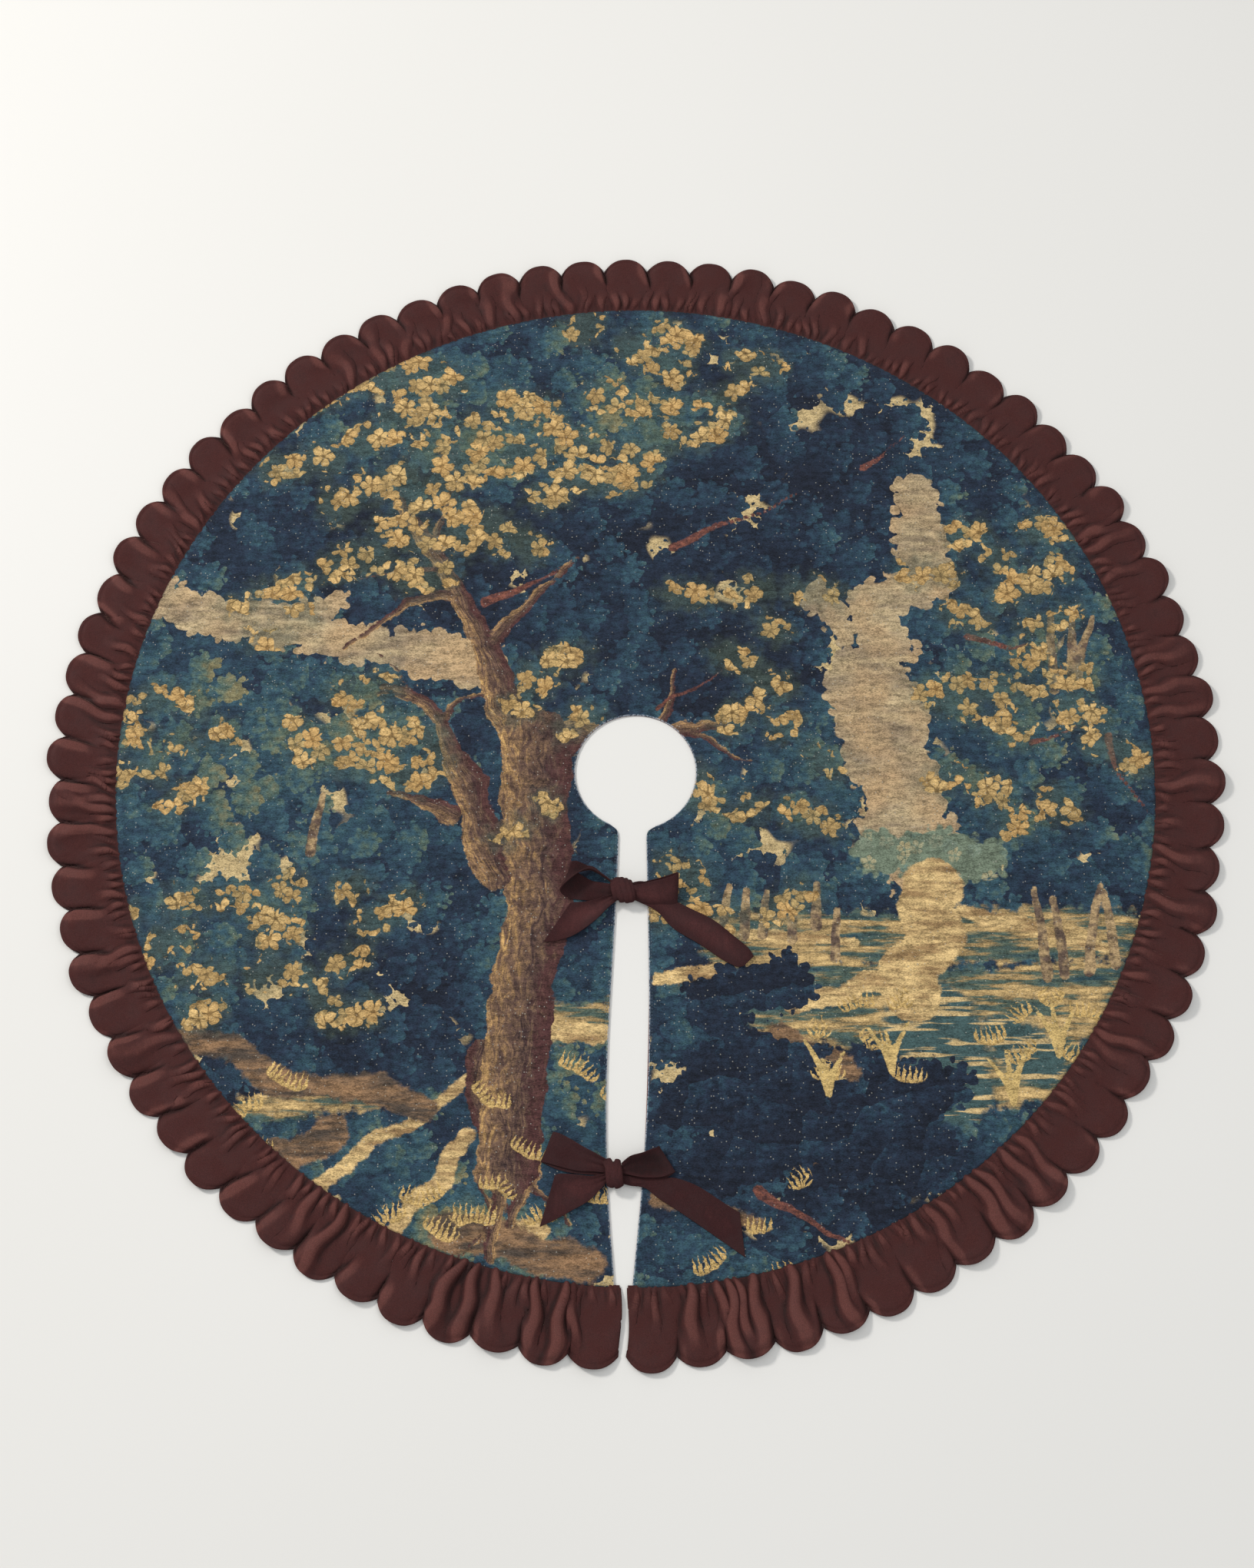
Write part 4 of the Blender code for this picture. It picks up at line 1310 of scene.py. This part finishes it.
# Leaf clusters: about five round leaves round each of many scattered centres. Gate lets the
# clusters in where it is above 0; Size is a cluster's pitch in metres.
def makeClusterGroup():
    group, start, end = newGroup(
        "leafClusters",
        [("Vector", vectorSocket, None), ("Size", floatSocket, 0.034), ("Gate", floatSocket, 0.0)],
        [("Mask", floatSocket), ("Shade", floatSocket), ("Random", floatSocket)],
    )
    vector = start.outputs["Vector"]
    scale = calc(group, "DIVIDE", 1.0, start.outputs["Size"])
    cells = voronoi(group, vector, scale, 0.85)
    across, up = fromCentre(group, vector, cells)
    random, spin, pick = cellRandoms(group, cells)
    angle = calc(group, "ARCTAN2", up, across)
    turned = timesPlus(group, angle, 2.5, times(group, spin, 6.28))
    lobe = calc(group, "ABSOLUTE", calc(group, "COSINE", turned))
    ragged = noiseOf(group, vector, 260, 2, 0.6)
    radius = timesPlus(group, calc(group, "POWER", lobe, 0.55), 0.25, 0.25)
    radius = timesPlus(group, ragged, 0.14, plus(group, radius, -0.07))
    distance = cells.outputs["Distance"]
    inside = minus(group, radius, distance)
    gate = plus(group, start.outputs["Gate"], times(group, ramp(group, random, 0.30, 0.25), -60.0))
    mask = times(group, ramp(group, inside, 0.0, 0.035), ramp(group, gate, -0.8, 0.8))
    petal = times(group, ramp(group, lobe, 0.1, 0.5), ramp(group, distance, 0.05, 0.15))
    rim = ramp(group, inside, 0.0, 0.12, 0.5, 1.0)
    lit = timesPlus(group, times(group, up, scale), 0.7, 0.8)
    shade = calc(group, "MULTIPLY", times(group, petal, rim), lit, clamp=True)
    setInputs(group, end, {"Mask": mask, "Shade": shade, "Random": pick})
    return group


def vectorCalc(tree, operation, *values):
    inputs = dict(enumerate(values))
    return addNode(tree, "ShaderNodeVectorMath", inputs, operation=operation).outputs[0]


def voronoi(tree, vector, scale, random=1.0):
    inputs = {"Vector": vector, "Scale": scale, "Randomness": random}
    return addNode(tree, "ShaderNodeTexVoronoi", inputs, voronoi_dimensions="2D", feature="F1")


# Three random values from 0 to 1, the same all over a cell
def cellRandoms(tree, cells):
    return addNode(tree, "ShaderNodeSeparateColor", {"Color": cells.outputs["Color"]}).outputs


# How far a place lies to the right of and above its cell's centre
def fromCentre(tree, vector, cells):
    offset = vectorCalc(tree, "SUBTRACT", vector, cells.outputs["Position"])
    parts = addNode(tree, "ShaderNodeSeparateXYZ", {"Vector": offset})
    return parts.outputs["X"], parts.outputs["Y"]


# Clumps of foliage with lobed outlines, each lit from the upper left
def makeClumpGroup():
    group, start, end = newGroup(
        "leafyClumps",
        [
            ("Vector", vectorSocket, None), ("Size", floatSocket, 0.08),
            ("Fullness", floatSocket, 0.5),
        ],
        [("Mask", floatSocket), ("Light", floatSocket), ("Random", floatSocket)],
    )
    vector = start.outputs["Vector"]
    scale = calc(group, "DIVIDE", 1.0, start.outputs["Size"])
    cells = voronoi(group, vector, scale, 0.95)
    leaves = voronoi(group, vector, times(group, scale, 4.6), 0.9).outputs["Distance"]
    across, up = fromCentre(group, vector, cells)
    ragged = noiseOf(group, vector, 210, 3, 0.65)
    reach = timesPlus(group, leaves, -0.36, plus(group, start.outputs["Fullness"], 0.13))
    reach = timesPlus(group, ragged, 0.16, plus(group, reach, -0.08))
    inside = minus(group, reach, cells.outputs["Distance"])
    slant = times(group, minus(group, up, times(group, across, 0.6)), scale)
    light = timesPlus(group, slant, 0.75, 0.5)
    light = timesPlus(group, leaves, -0.75, plus(group, light, 0.26))
    light = timesPlus(group, ragged, 0.5, plus(group, light, -0.25))
    setInputs(group, end, {
        "Mask": ramp(group, inside, 0.0, 0.02), "Light": light,
        "Random": cellRandoms(group, cells)[0],
    })
    return group


def colourRamp(tree, value, stops):
    made = addNode(tree, "ShaderNodeValToRGB", {"Fac": value})
    elements = made.color_ramp.elements
    for index, (position, colour) in enumerate(stops):
        if index < 2:
            elements[index].position = position
            elements[index].color = paint(*colour)
        else:
            elements.new(position).color = paint(*colour)
    return made.outputs["Color"]


def foliageColour(tree, level):
    return colourRamp(tree, level, [
        (0.0, (22, 29, 43)), (1.0, (118, 112, 82)), (0.24, (29, 41, 58)), (0.44, (37, 58, 74)),
        (0.62, (49, 77, 88)), (0.80, (78, 96, 86)),
    ])


# The soft woven surface: short threads, mottling, hatching and pale flecks
def makeWeaveGroup():
    group, start, end = newGroup(
        "softWeave",
        [("Vector", vectorSocket, None), ("Pitch", floatSocket, 0.0012)],
        [("Tone", floatSocket), ("Flecks", floatSocket), ("Height", floatSocket)],
    )
    vector = start.outputs["Vector"]
    fine = calc(group, "DIVIDE", 1.0, start.outputs["Pitch"])
    threads = noiseOf(group, stretched(group, vector, 0.45, 1.0), fine, 2, 0.6)
    slubs = noiseOf(group, stretched(group, vector, 0.35, 1.0), 210, 3, 0.65)
    mottle = noiseOf(group, vector, 95, 4, 0.7)
    hatch = noiseOf(group, stretched(group, vector, 0.16, 1.0), 150, 2, 0.5)
    tone = timesPlus(group, threads, 1.5, 0.0)
    tone = timesPlus(group, slubs, 1.0, tone)
    tone = timesPlus(group, mottle, 0.8, tone)
    tone = timesPlus(group, hatch, 0.5, tone)
    cells = voronoi(group, vector, 330.0)
    pick = ramp(group, cellRandoms(group, cells)[0], 0.955, 0.975)
    near = ramp(group, cells.outputs["Distance"], 0.34, 0.16)
    setInputs(group, end, {
        "Tone": plus(group, tone, -0.90),
        "Flecks": times(group, pick, near),
        "Height": timesPlus(group, slubs, 0.7, threads),
    })
    return group


def printedFaceMaterial():
    material, tree, shader = newMaterial("printedFace")
    place = objectPlace(tree)
    weave = useGroup(tree, softWeave, {"Vector": place, "Pitch": 0.0011})

    # Places pushed about a little, so that no outline is smooth
    shove = addNode(tree, "ShaderNodeTexNoise", {
        "Vector": place, "Scale": 55.0, "Detail": 2.0
    }, noise_dimensions="2D").outputs["Color"]
    shove = vectorCalc(tree, "SUBTRACT", shove, (0.5, 0.5, 0.5))
    moved = vectorCalc(tree, "MULTIPLY_ADD", shove, (0.010, 0.010, 0), place)
    leafLobes = voronoi(tree, moved, 62.0, 0.9).outputs["Distance"]
    ragged = noiseOf(tree, place, 160, 3, 0.65)
    fuzz = noiseOf(tree, place, 420, 2, 0.6)

    # Mask of a layer; lobes and rough are in mm
    def inLayer(name, lobes=0.0, rough=3.0, soft=0.9):
        edge = timesPlus(tree, ragged, 2 * rough, -rough)
        edge = timesPlus(tree, leafLobes, lobes * 2.0, plus(tree, edge, -lobes))
        edge = timesPlus(tree, fuzz, 1.6, plus(tree, edge, -0.8))
        return ramp(tree, plus(tree, attribute(tree, f"{name}Gap"), edge), -soft, soft, 1.0, 0.0)

    # Foliage: three depths of lobed clumps
    cloud = noiseOf(tree, place, 13, 4, 0.6)
    level = timesPlus(tree, cloud, 0.7, plus(tree, attribute(tree, "tone"), 0.02))
    colour = foliageColour(tree, timesPlus(tree, ragged, 0.2, plus(tree, level, -0.22)))
    chance = ramp(tree, noiseOf(tree, place, 9, 2, 0.5), 0.54, 0.58)
    colour = colourMix(tree, chance, colour, paint(182, 160, 116))
    for size, fullness, turn, lift in (
        (0.090, 0.56, 20, -0.12), (0.076, 0.46, 75, 0.0), (0.052, 0.42, 130, 0.14),
    ):
        clumps = useGroup(tree, leafyClumps, {
            "Vector": stretched(tree, moved, 1, 1, 1, turn), "Size": size, "Fullness": fullness
        })
        bright = timesPlus(tree, clumps.outputs["Light"], 0.34, plus(tree, level, lift - 0.25))
        bright = timesPlus(tree, clumps.outputs["Random"], 0.22, bright)
        colour = colourMix(tree, clumps.outputs["Mask"], colour, foliageColour(tree, bright))

    # Sky, far trees, meadow, water and ground
    streak = noiseOf(tree, stretched(tree, place, 0.22, 1.0), 70, 4, 0.65)
    skyColour = twoTone(tree, streak, 0.3, 0.7, (128, 112, 92), (178, 158, 122))
    blush = ramp(tree, noiseOf(tree, place, 11, 2), 0.4, 0.65, 0, 0.8)
    skyColour = colourMix(tree, blush, skyColour, paint(176, 146, 108))
    colour = colourMix(tree, inLayer("sky", 10.0, 3.5), colour, skyColour)
    farLeaves = useGroup(tree, leafClusters, {
        "Vector": moved, "Size": 0.022, "Gate": times(tree, attribute(tree, "farTreesGap"), -1.0)
    })
    farColour = colourMix(
        tree, farLeaves.outputs["Random"], paint(86, 112, 104), paint(188, 168, 122)
    )
    colour = colourMix(tree, inLayer("farTrees", 10.0, 5.0, 2.5), colour, paint(104, 116, 98))
    colour = colourMix(
        tree, times(tree, farLeaves.outputs["Mask"], farLeaves.outputs["Shade"]), colour, farColour
    )
    bands = noiseOf(tree, stretched(tree, place, 0.15, 1.0), 62, 4, 0.62)
    meadowColour = colourRamp(tree, bands, [
        (0.34, (44, 70, 78)), (0.66, (206, 174, 118)), (0.47, (78, 92, 80)), (0.53, (150, 126, 86)),
    ])
    colour = colourMix(tree, inLayer("meadow", 8.0, 9.0, 5.0), colour, meadowColour)
    ripple = noiseOf(tree, stretched(tree, place, 0.09, 1.0), 130, 2, 0.45)
    waterColour = twoTone(tree, ripple, 0.54, 0.60, (60, 82, 82), (190, 164, 116))
    colour = colourMix(tree, inLayer("water", 3.0, 8.0, 7.0), colour, waterColour)
    groundColour = twoTone(tree, streak, 0.36, 0.62, (140, 112, 76), (206, 176, 122))
    colour = colourMix(tree, inLayer("path", 2.0, 4.5, 1.8), colour, groundColour)
    earthColour = twoTone(tree, streak, 0.35, 0.65, (72, 62, 54), (140, 108, 78))
    colour = colourMix(tree, inLayer("earth", 3.0, 6.0, 3.0), colour, earthColour)
    bushes = useGroup(tree, leafyClumps, {"Vector": moved, "Size": 0.05, "Fullness": 0.6})
    bushColour = foliageColour(tree, timesPlus(tree, bushes.outputs["Light"], 0.42, -0.04))
    colour = colourMix(tree, inLayer("bushes", 14.0, 3.0), colour, bushColour)

    # Bark runs along its stroke, lit on one side and dark red on the other
    def barkColour(name, litSide):
        along, across = attribute(tree, f"{name}Along"), attribute(tree, f"{name}Across")
        flow = addNode(tree, "ShaderNodeCombineXYZ", {
            "X": times(tree, along, 0.014), "Y": times(tree, across, 2.0), "Z": 0.0
        }).outputs[0]
        twist = noiseOf(tree, flow, 1.6, 2, 0.5)
        flow = vectorCalc(tree, "MULTIPLY_ADD", twist, (0.9, 1.6, 0), flow)
        grain = noiseOf(tree, flow, 2.6, 5, 0.7)
        side = times(tree, across, litSide)
        lit = timesPlus(tree, side, 0.26, timesPlus(tree, grain, 1.7, -0.42))
        lit = timesPlus(tree, ragged, 0.3, plus(tree, lit, -0.15))
        shade = colourRamp(tree, lit, [
            (0.12, (44, 32, 34)), (0.95, (200, 160, 100)), (0.34, (78, 58, 52)),
            (0.54, (108, 84, 66)), (0.72, (146, 114, 78)),
        ])
        red = ramp(tree, timesPlus(tree, grain, 1.7, plus(tree, side, -0.85)), -0.25, -0.75)
        return colourMix(tree, times(tree, red, 0.6), shade, paint(84, 48, 46))

    knotty = noiseOf(tree, place, 70, 2)
    twigColour = twoTone(tree, knotty, 0.35, 0.65, (88, 72, 62), (166, 140, 102))
    colour = colourMix(tree, inLayer("thinTrunks", 0.0, 2.0, 0.8), colour, twigColour)
    colour = colourMix(tree, inLayer("limbs", 2.0, 3.4, 1.0), colour, barkColour("limbs", 1.0))
    colour = colourMix(tree, inLayer("trunk", 2.0, 4.0, 1.0), colour, barkColour("trunk", -1.0))
    redColour = twoTone(tree, ragged, 0.35, 0.65, (80, 50, 48), (122, 74, 60))
    colour = colourMix(tree, inLayer("redTwigs", 0.0, 3.0, 0.9), colour, redColour)

    # Grass blades stand across their strokes, narrowing upwards
    bladeAt = timesPlus(tree, ragged, 9.0, attribute(tree, "grassAlong"))
    wave = calc(tree, "ABSOLUTE", minus(tree, calc(
        tree, "FRACT", times(tree, bladeAt, 0.14)
    ), 0.5))
    up = timesPlus(tree, ragged, 0.9, plus(tree, attribute(tree, "grassAcross"), -0.45))
    blades = minus(tree, timesPlus(tree, up, -0.26, 0.24), wave)
    blades = times(tree, ramp(tree, blades, -0.05, 0.05), inLayer("grass", 0.0, 3.0, 0.8))
    grassColour = twoTone(tree, fuzz, 0.3, 0.7, (160, 130, 78), (206, 174, 112))
    colour = colourMix(tree, blades, colour, grassColour)
    colour = colourMix(tree, inLayer("reeds", 0.0, 1.4, 0.7), colour, paint(190, 162, 104))

    # Sprays of golden leaves, two layers deep
    gate = timesPlus(tree, attribute(tree, "spraysGap"), -1.0, 6.0)
    gate = timesPlus(tree, ragged, 10.0, plus(tree, gate, -1.0))
    gate = timesPlus(tree, leafLobes, -20.0, gate)
    colour = colourMix(tree, ramp(tree, gate, -20.0, 8.0, 0.0, 0.5), colour, paint(70, 84, 72))
    for size, deep, light, turn in (
        (0.029, paint(104, 94, 66), paint(170, 146, 98), 40),
        (0.034, paint(112, 92, 58), paint(200, 168, 112), 0),
    ):
        leaves = useGroup(tree, leafClusters, {
            "Vector": stretched(tree, moved, 1, 1, 1, turn), "Size": size, "Gate": gate
        })
        leafColour = colourMix(tree, leaves.outputs["Shade"], deep, light)
        leafColour = colourMix(
            tree, times(tree, leaves.outputs["Random"], 0.4), leafColour, paint(166, 122, 66)
        )
        colour = colourMix(tree, leaves.outputs["Mask"], colour, leafColour)

    # Weave, flecks, rubbed edges, and painted shade in the crevice along the hem
    tone = ramp(tree, weave.outputs["Tone"], 0.5, 1.5, 0.42, 1.6)
    colour = colourMix(tree, 1.0, colour, greyOf(tree, tone), "MULTIPLY")
    colour = colourMix(
        tree, times(tree, weave.outputs["Flecks"], 0.5), colour, paint(180, 178, 166)
    )
    rubbed = times(tree, ramp(tree, attribute(tree, "edgeInset"), 2.2, 0.2), ramp(
        tree, fuzz, 0.35, 0.6
    ))
    colour = colourMix(tree, times(tree, rubbed, 0.75), colour, paint(176, 186, 198))
    # Painted shade: near-black mixed in over the last 3 mm before the hem, where the face meets the
    # ruffle
    hemCreviceShade = ramp(tree, attribute(tree, "hemInset"), 3.0, 0.6)
    colour = colourMix(tree, times(tree, hemCreviceShade, 0.5), colour, paint(22, 28, 34))
    setInputs(tree, shader, {
        "Base Color": colour,
        "Roughness": ramp(tree, weave.outputs["Tone"], 0.4, 1.6, 0.95, 0.78),
        "Normal": relief(tree, weave.outputs["Height"], 0.55, 0.0006),
        "Specular IOR Level": 0.25, "Sheen Weight": 0.12, "Sheen Roughness": 0.45,
    })
    return material


def velvetMaterial(name, dark, colour, light, sheen):
    material, tree, shader = newMaterial(name)
    # The mesh's ridge attribute brings painted shade and painted highlight into the velvet's colour
    pile = useGroup(tree, velvetPile, {
        "Vector": objectPlace(tree), "Dark": dark, "Colour": colour, "Light": light,
        "RidgeShading": attribute(tree, "ridge"),
    }).outputs
    setInputs(tree, shader, {
        "Base Color": pile["Colour"], "Roughness": pile["Roughness"],
        "Normal": relief(tree, pile["Height"], 0.5, 0.0005), "Specular IOR Level": 0.2,
        "Sheen Weight": sheen, "Sheen Roughness": 0.35, "Sheen Tint": paint(214, 158, 146),
    })
    return material


def liningMaterial():
    material, tree, shader = newMaterial("liningCotton")
    place = objectPlace(tree)
    weave = useGroup(tree, softWeave, {"Vector": place, "Pitch": 0.0009})
    inputs = {"Vector": place, "Scale": 190.0, "Distortion": 0.6}
    warp, weft = [
        addNode(tree, "ShaderNodeTexWave", inputs, bands_direction=way).outputs["Fac"]
        for way in "XY"
    ]
    cross = times(tree, warp, weft)
    colour = colourMix(
        tree, ramp(tree, weave.outputs["Tone"], 0.5, 1.5), paint(92, 46, 38), paint(134, 74, 60)
    )
    colour = colourMix(tree, times(tree, cross, 0.25), colour, paint(160, 104, 88))
    setInputs(tree, shader, {
        "Base Color": colour, "Roughness": ramp(tree, cross, 0, 1, 0.9, 0.78),
        "Normal": relief(tree, cross, 0.4, 0.0003), "Specular IOR Level": 0.25,
    })
    return material


def threadMaterial():
    material, tree, shader = newMaterial("sewingThread")
    place = objectPlace(tree)
    twist = noiseOf(tree, stretched(tree, place, 1, 1, 1, 35), 1400, 1, 0.5)
    shade = ramp(tree, twist, 0.35, 0.65)
    setInputs(tree, shader, {
        "Base Color": colourMix(tree, shade, paint(66, 78, 94), paint(128, 140, 152)),
        "Roughness": ramp(tree, twist, 0.3, 0.7, 0.75, 0.55),
        "Normal": relief(tree, twist, 0.5, 0.0002),
    })
    return material


makeCamera()
makeLights()
makeFloor()
leafClusters = makeClusterGroup()
leafyClumps = makeClumpGroup()
softWeave = makeWeaveGroup()
velvetPile = makePileGroup()
makeFace(printedFaceMaterial())
makeLining(liningMaterial())
makeStitches(threadMaterial())
ruffleVelvet = velvetMaterial(
    "ruffleVelvet", paint(44, 22, 21), paint(68, 35, 33), paint(110, 66, 60), 0.14
)
ribbonVelvet = velvetMaterial(
    "ribbonVelvet", paint(32, 15, 16), paint(52, 25, 26), paint(92, 52, 51), 0.12
)
for strip in range(ruffle["strips"]):
    makeRuffleFacing(strip, ruffleVelvet)
    makeRuffleFront(strip, ruffleVelvet)
makeBows(ribbonVelvet)
